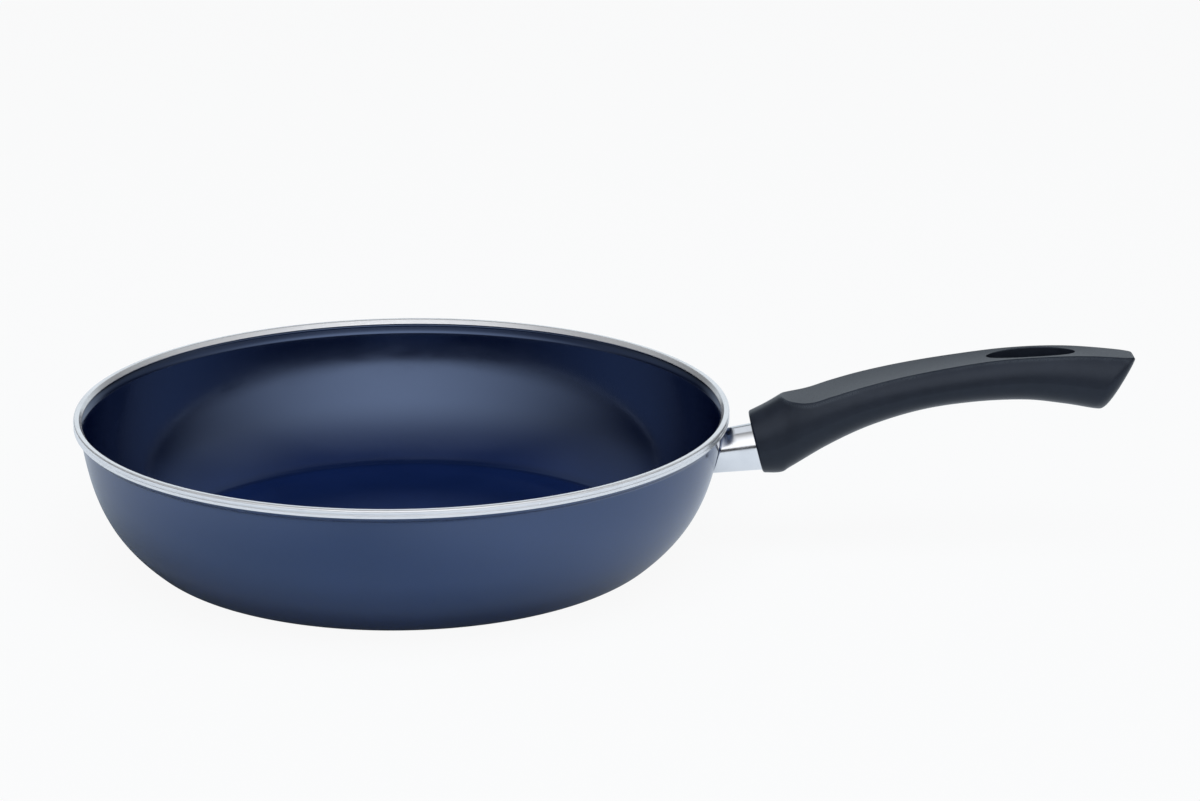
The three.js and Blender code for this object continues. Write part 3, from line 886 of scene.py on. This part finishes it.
@dataclass
class FlameGuard:
    """The flame guard: a flared oval sleeve of bright sheet with a saddle end on the wall."""

    axis: HandleAxis
    bowl: Bowl
    wall_width: float = 15.0
    wall_height: float = 19.0
    grip_width: float = 17.0
    grip_height: float = 21.6
    sheet: float = 0.6
    shows: float = 17.5
    enters: float = 3.5
    seat_gap: float = 0.3
    rounds: int = 40
    length_points: int = 24
    bend_points: int = 8
    around: int = 160

    @property
    def end(self) -> float:
        """Place of the sleeve's end inside the grip."""
        return self.shows + self.enters

    def half(self, along: Array | float) -> tuple[Any, Any]:
        """Half width and half height of the sleeve's outside at places on the axis."""
        share = along / self.end
        width = self.wall_width + (self.grip_width - self.wall_width) * share
        height = self.wall_height + (self.grip_height - self.wall_height) * share
        return width / 2, height / 2

    def oval(self, along: Array, angle: Array, grow: Array | float) -> Array:
        """Points of the sleeve's oval, grown by a distance, as points of the pan."""
        width, height = self.half(along)
        return self.axis.points(along, (width + grow) * np.cos(angle), (height + grow) * np.sin(angle))

    def saddle(self, angle: Array, grow: float) -> Array:
        """Where each line of the oval meets the wall.

        Args:
            angle: angles round the oval.
            grow: how far the oval is grown.

        Returns:
            Places on the axis, by halving a bracket until the point's radius is the wall's plus the gap.
        """
        low, high = np.full(angle.shape, -self.wall_height), np.full(angle.shape, self.shows)
        for _ in range(self.rounds):
            middle = (low + high) / 2
            x, y, z = np.moveaxis(self.oval(middle, angle, grow), -1, 0)
            inside = np.hypot(x, y) < self.bowl.outer_radius(z, self.seat_gap)
            low, high = np.where(inside, middle, low), np.where(inside, high, middle)
        return high

    def build(self) -> bpy.types.Mesh:
        """The outer oval from the saddle to the grip, a rounded end, and the inner oval back.

        Returns:
            The sleeve as a closed skin whose last ring runs on into the first.
        """
        angle = full_turn(self.around)
        half = self.sheet / 2
        share = np.linspace(0.0, 1.0, self.length_points)[:, None]
        start = self.saddle(angle, -half) + half
        stop = self.end - half
        outer = self.oval(start + share * (stop - start), angle, 0.0)
        inner = self.oval(stop + share * (start - stop), angle, -self.sheet)
        bend = np.linspace(0.0, math.pi, self.bend_points)[1:-1, None]
        grow = half * (np.cos(bend) - 1)
        tip = self.oval(stop + half * np.sin(bend), angle, grow)
        root = self.oval(start - half * np.sin(bend[::-1]), angle, grow[::-1])
        return Skin(np.vstack([outer, tip, inner, root]), Ends.JOINED).mesh("flame_guard")

    def dress(self, finish: Finish) -> None:
        """Puts the sleeve in place of its node."""
        add_piece("guard_sleeve", self.build(), finish, ["flame_guard"])


@dataclass(frozen=True)
class Outline:
    """A smooth curve through (x, height) points, as a uniform Catmull-Rom spline."""

    points: tuple[Range, ...]
    steps: int = 40

    def at(self, x: Array) -> Array:
        """Heights of the curve.

        Args:
            x: places along it.

        Returns:
            Heights, read from a fine run of the spline. Its tangents are half the step between neighbours.
        """
        p = np.asarray(self.points)
        last = len(p) - 1
        t = np.linspace(0.0, last, self.steps * last + 1)
        i = np.minimum(t.astype(int), last - 1)
        w = (t - i)[:, None]
        p0, p1, p2, p3 = (p[np.clip(i + k, 0, last)] for k in (-1, 0, 1, 2))
        v1, v2 = (p2 - p0) / 2, (p3 - p1) / 2
        run = (2 * p1 - 2 * p2 + v1 + v2) * w**3 + (3 * p2 - 3 * p1 - 2 * v1 - v2) * w**2
        run += v1 * w + p1
        return np.interp(x, run[:, 0], run[:, 1])


def rounded(distance: Array, radius: float) -> Array:
    """How far a face draws in near a rounded edge: r - sqrt(r^2 - (r - d)^2), for d under r."""
    short = np.clip(radius - distance, 0.0, radius)
    return radius - np.sqrt(radius**2 - short**2)


def soft_min(first: Array, second: Array, blend: float) -> Array:
    """The lower of two heights, eased by a parabola where they are closer than the blend."""
    share = np.clip(0.5 + 0.5 * (second - first) / blend, 0.0, 1.0)
    return second + (first - second) * share - blend * share * (1 - share)


@dataclass
class Grip:
    """The grip: a squared-oval moulding on a curved spine, with a thumb facet, a raked tail and an eye.

    Outlines run from the middle of the front face, which lies on the handle's axis.
    """

    axis: HandleAxis
    guard: FlameGuard
    crown: Outline = Outline(
        ((-10, 12.3), (3, 18.9), (16, 26.8), (28, 31.8), (48, 36.5), (84, 42.2), (120, 46.8), (148, 45.4),
         (172, 42))
    )
    underside: Outline = Outline(
        ((-10, -11), (3, -11.1), (10.5, -10.8), (15, -8), (30, 1.7), (48, 10.7), (70, 17.9), (92, 21.4),
         (114, 22.4), (132, 20.6), (148, 17.9), (172, 15))
    )
    half_width: Outline = Outline(
        ((-10, 11.4), (10, 13.6), (26, 15.6), (60, 14.5), (104, 13.3), (140, 12.8), (172, 11))
    )
    facet: Outline = Outline(
        ((2, 27.4), (9.5, 23.4), (16, 22.6), (23, 23.4), (32, 26.4), (46, 30.7), (64, 35.1), (86, 39.2),
         (106, 42), (128, 43.3), (146, 42.9), (172, 40.7))
    )
    squareness: float = 2.4
    parting: float = 0.42
    mould_draft: float = 4.0
    dish: float = 0.3
    dish_ends: tuple[float, float, float, float] = (20.0, 40.0, 132.0, 148.0)
    front_rake: float = 14.4
    front_round: float = 0.9
    facet_blend: float = 0.4
    facet_lift: float = 2.0
    crease_rise: Range = (0.05, 0.97)
    tail_foot: float = 148.8
    tail_rake: float = 30.0
    tail_round: float = 2.2
    tail_corner: float = 7.0
    clamp: float = 16.5
    bracket_reach: float = 10.0
    nose_chamfer: float = 0.4
    bore: float = 2.7
    bore_overlap: float = 0.5
    well: float = 5.5
    well_run: Range = (20.0, 60.0)
    eye_centre: float = 117.0
    eye_length: float = 38.0
    eye_width: float = 14.4
    eye_draft: float = 2.0
    eye_round: float = 0.6
    eye_turn: float = 76.0
    eye_flare: float = 0.2
    eye_clear: float = 8.0
    eye_depth: float = 20.0
    # Width of the rubbed wear and painted highlight at the crease.
    rubbed_highlight_width: float = 0.6
    sharp_angle: float = 38.0
    facet_columns: int = 52
    side_columns: int = 44
    low_columns: int = 70
    bunching: float = 0.85
    stations: int = 290
    front_points: int = 12
    tail_points: int = 30
    face_points: int = 5
    tail_rings: int = 8
    eye_points: int = 128
    eye_round_points: int = 9
    well_points: int = 64
    rounds: int = 20
    station_rounds: int = 12

    @property
    def front(self) -> Array:
        """The middle of the front face, as a point of the pan."""
        return self.axis.points(self.guard.shows, 0.0, 0.0)

    @property
    def around(self) -> int:
        """Points round a section."""
        return self.facet_columns + 2 * self.side_columns + self.low_columns

    def section_at(self, x: Array) -> tuple[Array, Array, Array, Array]:
        """The section at places along the grip.

        Args:
            x: places along the grip.

        Returns:
            Height of the parting line, the height above it, the height below it, and the half width.
        """
        crown, underside = self.crown.at(x), self.underside.at(x)
        middle = underside + self.parting * (crown - underside)
        return middle, crown - middle, middle - underside, self.half_width.at(x)

    def bulge(self, y: Array, width: Array) -> Array:
        """Height of the squared oval at places across it, as a share: (1 - |y/W|^n)^(1/n)."""
        return (1 - np.clip(np.abs(y) / width, 0, 1) ** self.squareness) ** (1 / self.squareness)

    def columns(self, crease: Array) -> Array:
        """Angles round each section, close together at the facet's creases and the parting lines.

        Args:
            crease: the angle of each section's crease, as a column.

        Returns:
            Rows of angles: up one side, across the facet, down the other side and along the bottom.
        """
        zero, half = 0.0 * crease, math.pi + 0.0 * crease
        knots = [zero, crease, half - crease, half, 2 * half]
        counts = [self.side_columns, self.facet_columns, self.side_columns, self.low_columns]
        runs = []
        for start, stop, count in zip(knots, knots[1:], counts):
            share = np.arange(count) / count
            share = share - self.bunching * np.sin(2 * np.pi * share) / (2 * np.pi)
            runs.append(start + (stop - start) * share)
        return np.hstack(runs)

    def lean_at(self, share: Array) -> Array:
        """How far a section leans out for each millimetre up, from the front's rake to the tail's."""
        front, tail = (math.tan(math.radians(rake)) for rake in (-self.front_rake, self.tail_rake))
        return front + (tail - front) * share

    def crease_at(self, share: Array) -> Array:
        """Angle at which each leaning section meets the thumb facet, short of the crown's top."""
        foot = self.underside.at(self.tail_foot)
        x = share * self.tail_foot
        for _ in range(self.rounds):
            middle, above, _, _ = self.section_at(x)
            z = np.minimum(self.facet_height(x), middle + above)
            x = share * self.tail_foot + self.lean_at(share) * (z - share * foot)
        rise = np.clip((z - middle) / above, *self.crease_rise)
        return np.arcsin(rise ** (self.squareness / 2))

    def stations_at(self, share: Array) -> tuple[Array, Array, Array]:
        """Points of the skin on leaning sections.

        Args:
            share: 0 at the front face and 1 at the tail face, as a column.

        Returns:
            x, y and z. A section is the squared oval |y/W|^n + |z/H|^n = 1, with its own H above and below
            the parting line. It narrows by the draft away from that line, and is cut down to the dished
            thumb facet. It leans, so x follows from z, which a few rounds settle.
        """
        angle = self.columns(self.crease_at(share))
        power = 2.0 / self.squareness
        side = np.sign(np.cos(angle)) * np.abs(np.cos(angle)) ** power
        rise = np.sign(np.sin(angle)) * np.abs(np.sin(angle)) ** power
        foot = self.underside.at(self.tail_foot)
        draft = math.tan(math.radians(self.mould_draft))
        start, full, fade, end = self.dish_ends
        x = share * self.tail_foot + 0.0 * angle
        for _ in range(self.station_rounds):
            middle, above, below, width = self.section_at(x)
            up = np.where(rise > 0, above, below) * rise
            y = (width - draft * np.abs(up)) * side
            edge = np.abs(y[:, self.side_columns])[:, None]
            hollow = np.interp(x, [start, full, fade, end], [0.0, self.dish, self.dish, 0.0])
            hollow = hollow * np.clip(1 - (y / edge) ** 2, 0.0, None)
            z = soft_min(middle + up, self.facet_height(x) - hollow, self.facet_blend)
            x = share * self.tail_foot + self.lean_at(share) * (z - share * foot)
        return x, y, z

    def facet_height(self, x: Array) -> Array:
        """Height of the thumb facet, which is clear of the crown before its front end."""
        start = self.facet.points[0]
        return np.where(x < start[0], start[1] + self.facet_lift * (start[0] - x), self.facet.at(x))

    def skin(self) -> Array:
        """The body's rings from the front face to the tail face, with rounded edges at both.

        Returns:
            Rings in the grip's frame. Near the front each section shrinks by a quarter round, and near the
            tail its width and height shrink by quarter rounds of their own.
        """
        even = np.linspace(0.0, 1.0, self.stations)
        front = self.front_round / self.tail_foot * np.linspace(0.0, 1.0, self.front_points) ** 2
        tail = 1.0 - self.tail_corner / self.tail_foot * np.linspace(0.0, 1.0, self.tail_points) ** 2
        share = np.unique(np.round(np.concatenate([even, front, tail]), 7))[:, None]
        x, y, z = self.stations_at(share)
        length = share * self.tail_foot
        rest = (1 - share) * self.tail_foot
        middle = (z.max(1, keepdims=True) + z.min(1, keepdims=True)) / 2
        high = (z.max(1, keepdims=True) - z.min(1, keepdims=True)) / 2
        wide = y.max(1, keepdims=True)
        drawn = rounded(length, self.front_round)
        y = y * (1 - (drawn + rounded(rest, self.tail_corner)) / wide)
        squeeze = 1 - (drawn + rounded(rest, self.tail_round)) / high
        z_new = middle + (z - middle) * squeeze
        return np.stack([x + self.lean_at(share) * (z_new - z), y, z_new], -1)

    def nose(self) -> Array:
        """The rings from the screw's bore to the front face: bore, nose, pocket floor and pocket wall.

        Returns:
            Rings as points of the pan, each an oval about the handle's axis at a place on it.
        """
        angle = self.columns(self.crease_at(np.zeros((1, 1))))[0]
        guard, chamfer = self.guard, self.nose_chamfer
        tip = self.bracket_reach + guard.seat_gap
        seat = guard.shows + self.clamp + self.bore_overlap
        floor = guard.end + guard.seat_gap
        slim = -guard.sheet - guard.seat_gap
        nose_wide, nose_high = guard.half(tip)
        wide, high = guard.half(floor)
        rows = [
            (seat, self.bore, self.bore),
            (tip, self.bore, self.bore),
            (tip, nose_wide + slim - chamfer, nose_high + slim - chamfer),
            (tip + chamfer, nose_wide + slim, nose_high + slim),
            (floor, nose_wide + slim, nose_high + slim),
            (floor, wide + guard.seat_gap, high + guard.seat_gap),
        ]
        along, across, up = (np.array(column)[:, None] for column in zip(*rows))
        rings = self.axis.points(along, across * np.cos(angle), up * np.sin(angle))
        return np.vstack([rings, self.pocket_mouth(angle)[None]])

    def pocket_mouth(self, angle: Array) -> Array:
        """Where the pocket's wall meets the raked front face, found along the handle's axis."""
        guard = self.guard
        place = np.full(angle.shape, guard.shows)
        lean = math.tan(math.radians(self.front_rake))
        for _ in range(self.rounds):
            x, _, z = np.moveaxis(guard.oval(place, angle, guard.seat_gap) - self.front, -1, 0)
            place = place - (x + lean * z)
        return guard.oval(place, angle, guard.seat_gap)

    def blank(self) -> bpy.types.Mesh:
        """The moulding before the eye and the screw's well are cut: one skin from the bore to the tail."""
        body = self.skin() + self.front
        nose = self.nose()
        share = np.linspace(0.0, 1.0, self.face_points)[1:-1, None, None]
        face = nose[-1] + share * (body[0] - nose[-1])
        share = np.linspace(0.0, 1.0, self.tail_rings)[1:-1, None, None]
        tail = body[-1] + share * (body[-1].mean(0) - body[-1])
        return Skin(np.vstack([nose, face, body, tail])).mesh("grip_blank")

    def eye_tool(self) -> bpy.types.Mesh:
        """The eye's cutter: a drafted oval whose two ends flare by a quarter round at the moulding's skin.

        Returns:
            A closed mesh. At angle a of the quarter round the cutter lies r (1 - sin a) under the skin and
            r (1 - cos a) outside the oval.
        """
        angle = full_turn(self.eye_points)
        long, wide = self.eye_length / 2, self.eye_width / 2
        normal = pairs(np.cos(angle) / long, np.sin(angle) / wide)
        normal /= np.linalg.norm(normal, axis=1, keepdims=True)
        turn = np.radians(np.linspace(0.0, self.eye_turn, self.eye_round_points))
        depth = self.eye_round * (1 - np.sin(turn))
        grow = self.eye_round * (1 - np.cos(turn))
        depth = np.concatenate([depth, [depth[-1] - self.eye_flare, depth[-1] - self.eye_clear]])
        grow = np.concatenate([grow, [grow[-1] + self.eye_flare * math.tan(turn[-1])] * 2])
        draft = math.tan(math.radians(self.eye_draft))

        def ring(under: float, out: float, top: bool) -> Array:
            """One ring of the cutter, under the facet or above the underside."""
            fall = 0.0 if top else -draft * self.eye_depth
            x = self.eye_centre + long * np.cos(angle) + normal[:, 0] * (out + fall)
            y = wide * np.sin(angle) + normal[:, 1] * (out + fall)
            middle, _, below, width = self.section_at(x)
            z = self.facet.at(x) - under if top else middle - below * self.bulge(y, width) + under
            return np.stack([x, y, z], -1)

        rings = [ring(d, g, False) for d, g in zip(depth[::-1], grow[::-1])]
        rings += [ring(d, g, True) for d, g in zip(depth, grow)]
        return Skin(np.stack(rings) + self.front).mesh("eye_tool")

    def well_tool(self) -> bpy.types.Mesh:
        """The well's cutter: a round bar on the handle's axis from the seat out of the underside."""
        angle = full_turn(self.well_points)
        seat = self.guard.shows + self.clamp
        along = seat + np.array([0.0, *self.well_run])[:, None]
        bar = self.axis.points(along, self.well * np.cos(angle), self.well * np.sin(angle))
        return Skin(bar).mesh("well_tool")

    def mark_edges(self, mesh: bpy.types.Mesh) -> None:
        """Writes the edge attribute for rubbed wear and a painted highlight: a bell curve of the gap
        between the oval and the thumb facet.
        """
        flat = np.empty(len(mesh.vertices) * 3, np.float32)
        mesh.vertices.foreach_get("co", flat)
        x, y, z = (flat.reshape(-1, 3) / MM - self.front).T
        middle, above, _, width = self.section_at(x)
        gap = middle + above * self.bulge(y, width) - self.facet_height(x)
        point_attribute(mesh, "edge", np.exp(-((gap / self.rubbed_highlight_width) ** 2)) * (z > middle))

    def dress(self, finish: Finish) -> None:
        """Cuts the eye and the well, and puts the grip in place of its node."""
        mesh = carve(self.blank(), [self.eye_tool(), self.well_tool()], self.sharp_angle)
        mesh.name = "grip"
        self.mark_edges(mesh)
        add_piece("moulded_grip", mesh, finish, ["handle_grip"])


@dataclass
class Screw:
    """The long screw: a threaded shank and a domed head with a cross recess."""

    axis: HandleAxis
    diameter: float = 5.0
    pitch: float = 0.8
    thread_depth: float = 0.42
    tip: float = 2.35
    chamfer: float = 0.8
    thread_end: float = 20.0
    thread_runout: float = 1.0
    thread_steps: int = 9
    ridge_slope: float = 2.6
    ridge_root: float = 0.2
    head_face: float = 36.65
    head_diameter: float = 9.5
    head_height: float = 3.4
    head_dome: float = 1.4
    head_edge: float = 0.2
    drive_span: float = 5.0
    drive_slot: float = 1.3
    drive_depth: float = 1.9
    drive_side: float = 0.15
    drive_end: float = 0.4
    sharp_angle: float = 40.0
    step: float = 0.01
    dome_points: int = 40
    dome_pole: float = 0.02
    around: int = 72

    def build(self) -> bpy.types.Mesh:
        """Shank and head about the handle's axis.

        Returns:
            One skin. On the shank the radius falls by a ridged wave of (place / pitch - turn). On the head
            the place falls by the recess's depth inside a cross of two slots.
        """
        turn = full_turn(self.around)
        radius, head = self.diameter / 2, self.head_diameter / 2
        stop = self.thread_end + self.thread_runout
        along = np.arange(self.tip, stop, self.pitch / self.thread_steps)[:, None]
        wave = (along / self.pitch - turn / (2 * np.pi)) % 1.0
        ridge = np.clip(np.abs(wave - 0.5) * self.ridge_slope - self.ridge_root, 0.0, 1.0)
        fade = np.clip((self.thread_end - along) / self.pitch, 0.0, 1.0)
        lead = np.clip(self.chamfer - (along - self.tip), 0.0, None)
        shank = radius - np.maximum(self.thread_depth * ridge * fade, lead)
        rows = [self.axis.points(along, shank * np.cos(turn), shank * np.sin(turn))]
        shoulder = self.head_face + self.head_height - self.head_dome
        plain = np.array(
            [
                [self.head_face - self.step, radius],
                [self.head_face, radius + self.step],
                [self.head_face, head - self.head_edge],
                [self.head_face + self.head_edge, head],
                [shoulder, head],
            ]
        )
        place, size = plain[:, :1], plain[:, 1:]
        rows.append(self.axis.points(place, size * np.cos(turn), size * np.sin(turn)))
        size = head * np.linspace(1.0, self.dome_pole, self.dome_points)[1:, None]
        y, z = size * np.cos(turn), size * np.sin(turn)
        dome = shoulder + self.head_dome * np.sqrt(np.clip(1 - (size / head) ** 2, 0, 1))

        def slot(across: Array, along_it: Array) -> Array:
            """One slot of the cross: 1 inside it, with steep sides."""
            sides = np.clip((self.drive_slot / 2 - np.abs(across)) / self.drive_side + 0.5, 0, 1)
            return sides * np.clip((self.drive_span / 2 - np.abs(along_it)) / self.drive_end + 0.5, 0, 1)

        cross = np.maximum(slot(y, z), slot(z, y)) * self.drive_depth
        rows.append(self.axis.points(dome - cross, y, z))
        return Skin(np.vstack(rows)).mesh("long_screw")

    def dress(self, finish: Finish) -> None:
        """Puts the screw in place of its node."""
        mesh = self.build()
        mesh.set_sharp_from_angle(angle=math.radians(self.sharp_angle))
        add_piece("long_screw", mesh, finish, ["handle_screw"])


@dataclass
class SmallParts:
    """The small pieces inside the handle that keep their CAD shape and get a finish."""

    nodes: dict[str, bpy.types.Object]

    def dress(self, finishes: dict[str, Finish]) -> None:
        """Gives each node its finish.

        Args:
            finishes: the finish of each node by name.
        """
        for name, finish in finishes.items():
            coat_with(self.nodes[name], finish)
            log.info("%s keeps its shape, in %s", name, finish.title)


@dataclass
class Studio:
    """A pale floor under a soft light tent, a low dark flag, a pale reflector and the photograph's camera.

    The tent is bright as a wide window over the camera and as a white wall behind the pan, and dim
    elsewhere. Sizes are in metres here. A range of a level gives where it is 0 and where it is whole.
    """

    floor_size: float = 8.4
    floor_drop: float = 0.0002
    floor_rough: float = 0.9
    floor_colour: Colour = (0.40, 0.465, 0.53)
    lift: float = 0.93
    mirrored_floor: Colour = (0.74, 0.80, 0.87)
    lit_near: Range = (0.15, 0.31)
    lit_right: float = 0.9
    lit_far: Range = (0.185, 0.34)
    lit_left: float = 0.45
    tent_radius: float = 6.0
    tent_rise: Range = (-1.0, 89.0)
    tent_rows: int = 10
    tent_around: int = 28
    window_colour: Colour = (0.97, 0.98, 1.0)
    wall_colour: Colour = (0.84, 0.93, 1.0)
    colour_turn: Range = (90.0, 140.0)
    window: float = 1.29
    window_low: float = 7.6
    window_edge: Range = (2.0, 0.08)
    window_high: Range = (85.0, 30.0)
    window_turn: float = 8.0
    window_spread: Range = (116.0, 0.0)
    wall: float = 0.74
    wall_high: Range = (45.0, 25.0)
    wall_spread: Range = (138.0, 164.0)
    sides: float = 0.20
    sides_rise: Range = (13.0, 34.0)
    sides_top: Range = (72.0, 46.0)
    sides_turn: Range = (70.0, 108.0)
    sides_back: Range = (162.0, 138.0)
    ceiling: float = 0.11
    ceiling_low: Range = (52.0, 78.0)
    ceiling_back: Range = (-0.08, -0.20)
    room: float = 0.026
    lamp_place: Place = (0.10, -0.55, 1.9)
    lamp_size: Range = (1.8, 1.3)
    lamp_power: float = 34.0
    flag_place: float = -0.70
    flag_half: float = 2.0
    flag_height: float = 0.142
    flag_colour: Colour = (0.03, 0.03, 0.034)
    flag_slant: Range = (1.2, 1.1)
    reflector_x: Range = (0.10, 0.20)
    reflector_y: Range = (-0.03, 0.14)
    reflector_height: float = 0.16
    reflector_colour: Colour = (0.70, 0.74, 0.79)
    reflector_slant: Range = (0.36, 0.22)
    camera_place: Place = (0.08506, -1.32399, 0.47032)
    camera_turn: float = 73.015
    camera_roll: float = 0.13
    lens: float = 96.105
    sensor: float = 36.0

    def seen(self, graph: Graph) -> Value:
        """1 for what the camera, a mirror or a glass sees, and 0 for light that falls on a surface."""
        seen = [
            graph.node("ShaderNodeLightPath", out=name)
            for name in ("Is Camera Ray", "Is Glossy Ray", "Is Transmission Ray")
        ]
        return seen[0].math("MAXIMUM", seen[0].math("MAXIMUM", seen[0], seen[1]), seen[2])

    def floor(self) -> None:
        """A flat pale floor that keeps the shadow and is lifted towards white where it is seen.

        What the pan mirrors of it is lifted clear of the shadow at the pan's foot, soonest on the right.
        """
        half, drop = self.floor_size / 2, self.floor_drop
        mesh = sheet("studio_floor", [(x * half, y * half, -drop) for x, y in SQUARE])
        made, graph = new_material("pale_floor")
        place = graph.node("ShaderNodeTexCoord", out="Object")
        x, y = graph.part(place, "X"), graph.part(place, "Y")
        reach = x.math("POWER", x * x + y * y, 0.5)
        near = (reach + x * self.lit_right).step(*self.lit_near)
        far = (reach - x * self.lit_left).step(*self.lit_far)
        lit = x.math("MAXIMUM", near, far)
        mirrored = graph.node("ShaderNodeLightPath", out="Is Glossy Ray")
        fade = 1 - mirrored * (1 - lit)
        sockets = {"Base Color": self.floor_colour, "Roughness": self.floor_rough}
        paper = graph.node("ShaderNodeBsdfPrincipled", None, sockets)
        white = graph.mix(mirrored, WHITE, self.mirrored_floor)
        glow = graph.node("ShaderNodeEmission", None, {"Color": white})
        share = self.seen(graph) * fade * self.lift
        mixed = graph.node("ShaderNodeMixShader", None, {0: share, 1: paper, 2: glow})
        graph.node("ShaderNodeOutputMaterial", None, {"Surface": mixed})
        self.stand("studio_floor", mesh, made)

    def stand(self, name: str, mesh: bpy.types.Mesh, material: bpy.types.Material) -> bpy.types.Object:
        """Puts a piece of the studio in the scene.

        Args:
            name: its name.
            mesh: its shape.
            material: its material.

        Returns:
            The new object.
        """
        mesh.materials.append(material)
        made = bpy.data.objects.new(name, mesh)
        bpy.context.scene.collection.objects.link(made)
        return made

    def card(self, name: str, corners: Sequence[Place], colour: Colour, slant: Range) -> None:
        """A flat card that only bright metal and enamel see.

        Args:
            name: its name.
            corners: its four corners.
            colour: its glow.
            slant: how far aslant it is seen where it is gone and where it is whole, from 0 for square on
                to 1 for edge on.
        """
        mesh = sheet(name, corners)
        made, graph = new_material(name)
        share = graph.node("ShaderNodeLayerWeight", out="Facing").step(*slant)
        glow = graph.node("ShaderNodeEmission", None, {"Color": colour})
        clear = graph.node("ShaderNodeBsdfTransparent")
        mixed = graph.node("ShaderNodeMixShader", None, {0: share, 1: clear, 2: glow})
        graph.node("ShaderNodeOutputMaterial", None, {"Surface": mixed})
        card = self.stand(name, mesh, made)
        card.visible_camera = card.visible_diffuse = card.visible_shadow = False

    def cards(self) -> None:
        """A dark card stands low in front of the pan, and a pale one hangs over the handle's root."""
        half, y, high = self.flag_half, self.flag_place, self.flag_height
        front = [(-half, y, 0.0), (half, y, 0.0), (half, y, high), (-half, y, high)]
        self.card("dark_flag", front, self.flag_colour, self.flag_slant)
        (x0, x1), (y0, y1), z = self.reflector_x, self.reflector_y, self.reflector_height
        over = [(x0, y0, z), (x1, y0, z), (x1, y1, z), (x0, y1, z)]
        self.card("pale_reflector", over, self.reflector_colour, self.reflector_slant)

    def tent(self) -> None:
        """The light tent: a dome that glows inwards and that the camera looks through.

        Its level is the room's, plus the window's, the wall's, the sides' and the ceiling's. Those are
        products of smooth steps of the elevation and of the azimuth, which is 0 towards the camera. The
        window's lower edge is sharp in the middle and softer aside.
        """
        high = np.radians(np.linspace(*self.tent_rise, self.tent_rows))
        profile = self.tent_radius * pairs(np.cos(high), np.sin(high))
        mesh = Skin(lathe(profile, self.tent_around) / MM).mesh("light_tent")
        made, graph = new_material("tent_glow")
        place = graph.node("ShaderNodeTexCoord", out="Object")
        x, y, z = (graph.part(place, name) for name in "XYZ")
        degrees = math.degrees(1.0)
        rise = z.math("ARCSINE", z / self.tent_radius, 0.0) * degrees
        turn = x.math("ARCTAN2", x, 0.0 - y) * degrees
        aside = abs(turn - self.window_turn)
        sharp, soft = self.window_edge
        edge = ((rise - self.window_low) / (aside * soft + sharp)).step(-1.0, 1.0)
        window = edge * rise.step(*self.window_high) * aside.step(*self.window_spread) * self.window
        wall = rise.step(*self.wall_high) * abs(turn).step(*self.wall_spread) * self.wall
        sides = rise.step(*self.sides_rise) * rise.step(*self.sides_top) * self.sides
        sides = sides * abs(turn).step(*self.sides_turn) * abs(turn).step(*self.sides_back)
        ceiling = rise.step(*self.ceiling_low) * (y / self.tent_radius).step(*self.ceiling_back)
        level = window + wall + sides + ceiling * self.ceiling + self.room
        colour = graph.mix(abs(turn).step(*self.colour_turn), self.window_colour, self.wall_colour)
        lit = graph.node("ShaderNodeVectorMath", {"operation": "SCALE"}, {0: colour, "Scale": level})
        glow = graph.node("ShaderNodeEmission", None, {"Color": lit})
        graph.node("ShaderNodeOutputMaterial", None, {"Surface": glow})
        self.stand("light_tent", mesh, made).visible_camera = False

    def lamp(self) -> None:
        """A large soft lamp overhead that lights surfaces but shows in none of them."""
        data = bpy.data.lights.new("top_softbox", "AREA")
        data.shape = "RECTANGLE"
        data.size, data.size_y = self.lamp_size
        data.energy = self.lamp_power
        lamp = bpy.data.objects.new("top_softbox", data)
        turn = (-Vector(self.lamp_place)).to_track_quat("-Z", "Y").to_matrix().to_4x4()
        lamp.matrix_world = Matrix.Translation(self.lamp_place) @ turn
        lamp.visible_camera = lamp.visible_glossy = False
        bpy.context.scene.collection.objects.link(lamp)

    def world(self) -> None:
        """Plain white beyond the tent."""
        world = bpy.data.worlds.new("studio")
        bpy.context.scene.world = world
        world.use_nodes = True
        graph = Graph(world.node_tree)
        sky = graph.node("ShaderNodeBackground", None, {"Color": WHITE})
        graph.node("ShaderNodeOutputWorld", None, {"Surface": sky})

    def camera(self) -> None:
        """The camera at the photograph's angle."""
        data = bpy.data.cameras.new("photo_camera")
        data.sensor_fit = "HORIZONTAL"
        data.sensor_width = self.sensor
        data.lens = self.lens
        camera = bpy.data.objects.new("photo_camera", data)
        turn = Matrix.Rotation(math.radians(self.camera_turn), 4, "X")
        roll = Matrix.Rotation(math.radians(self.camera_roll), 4, "Z")
        camera.matrix_world = Matrix.Translation(self.camera_place) @ turn @ roll
        bpy.context.scene.collection.objects.link(camera)
        bpy.context.scene.camera = camera

    def build(self) -> None:
        """Floor, cards, tent, lamp, world and camera, with colours shown as they are."""
        self.floor()
        self.cards()
        self.tent()
        self.lamp()
        self.world()
        self.camera()
        bpy.context.scene.view_settings.view_transform = "Standard"


def main() -> None:
    """Builds the pan's pieces in order, then the studio."""
    logging.basicConfig(level=logging.INFO, format="%(name)s: %(message)s")
    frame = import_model()
    enamel, steel, phenolic, zinc = Enamel(), BrightSteel(), Phenolic(), ZincPlate()
    bowl = Bowl()
    axis = HandleAxis()
    guard = FlameGuard(axis, bowl)
    bowl.dress(enamel)
    RimRing(bowl).dress(steel)
    guard.dress(BrightSteel(title="bright_sleeve", polish=0.10, metal=1.0))
    Grip(axis, guard).dress(phenolic)
    Screw(axis).dress(zinc)
    SmallParts(frame["nodes"]).dress(
        {"handle_bracket": DarkBracket(), "bracket_nut": zinc, "lock_washer": zinc, "flat_washer": zinc}
    )
    Studio().build()


if __name__ == "__main__":
    main()
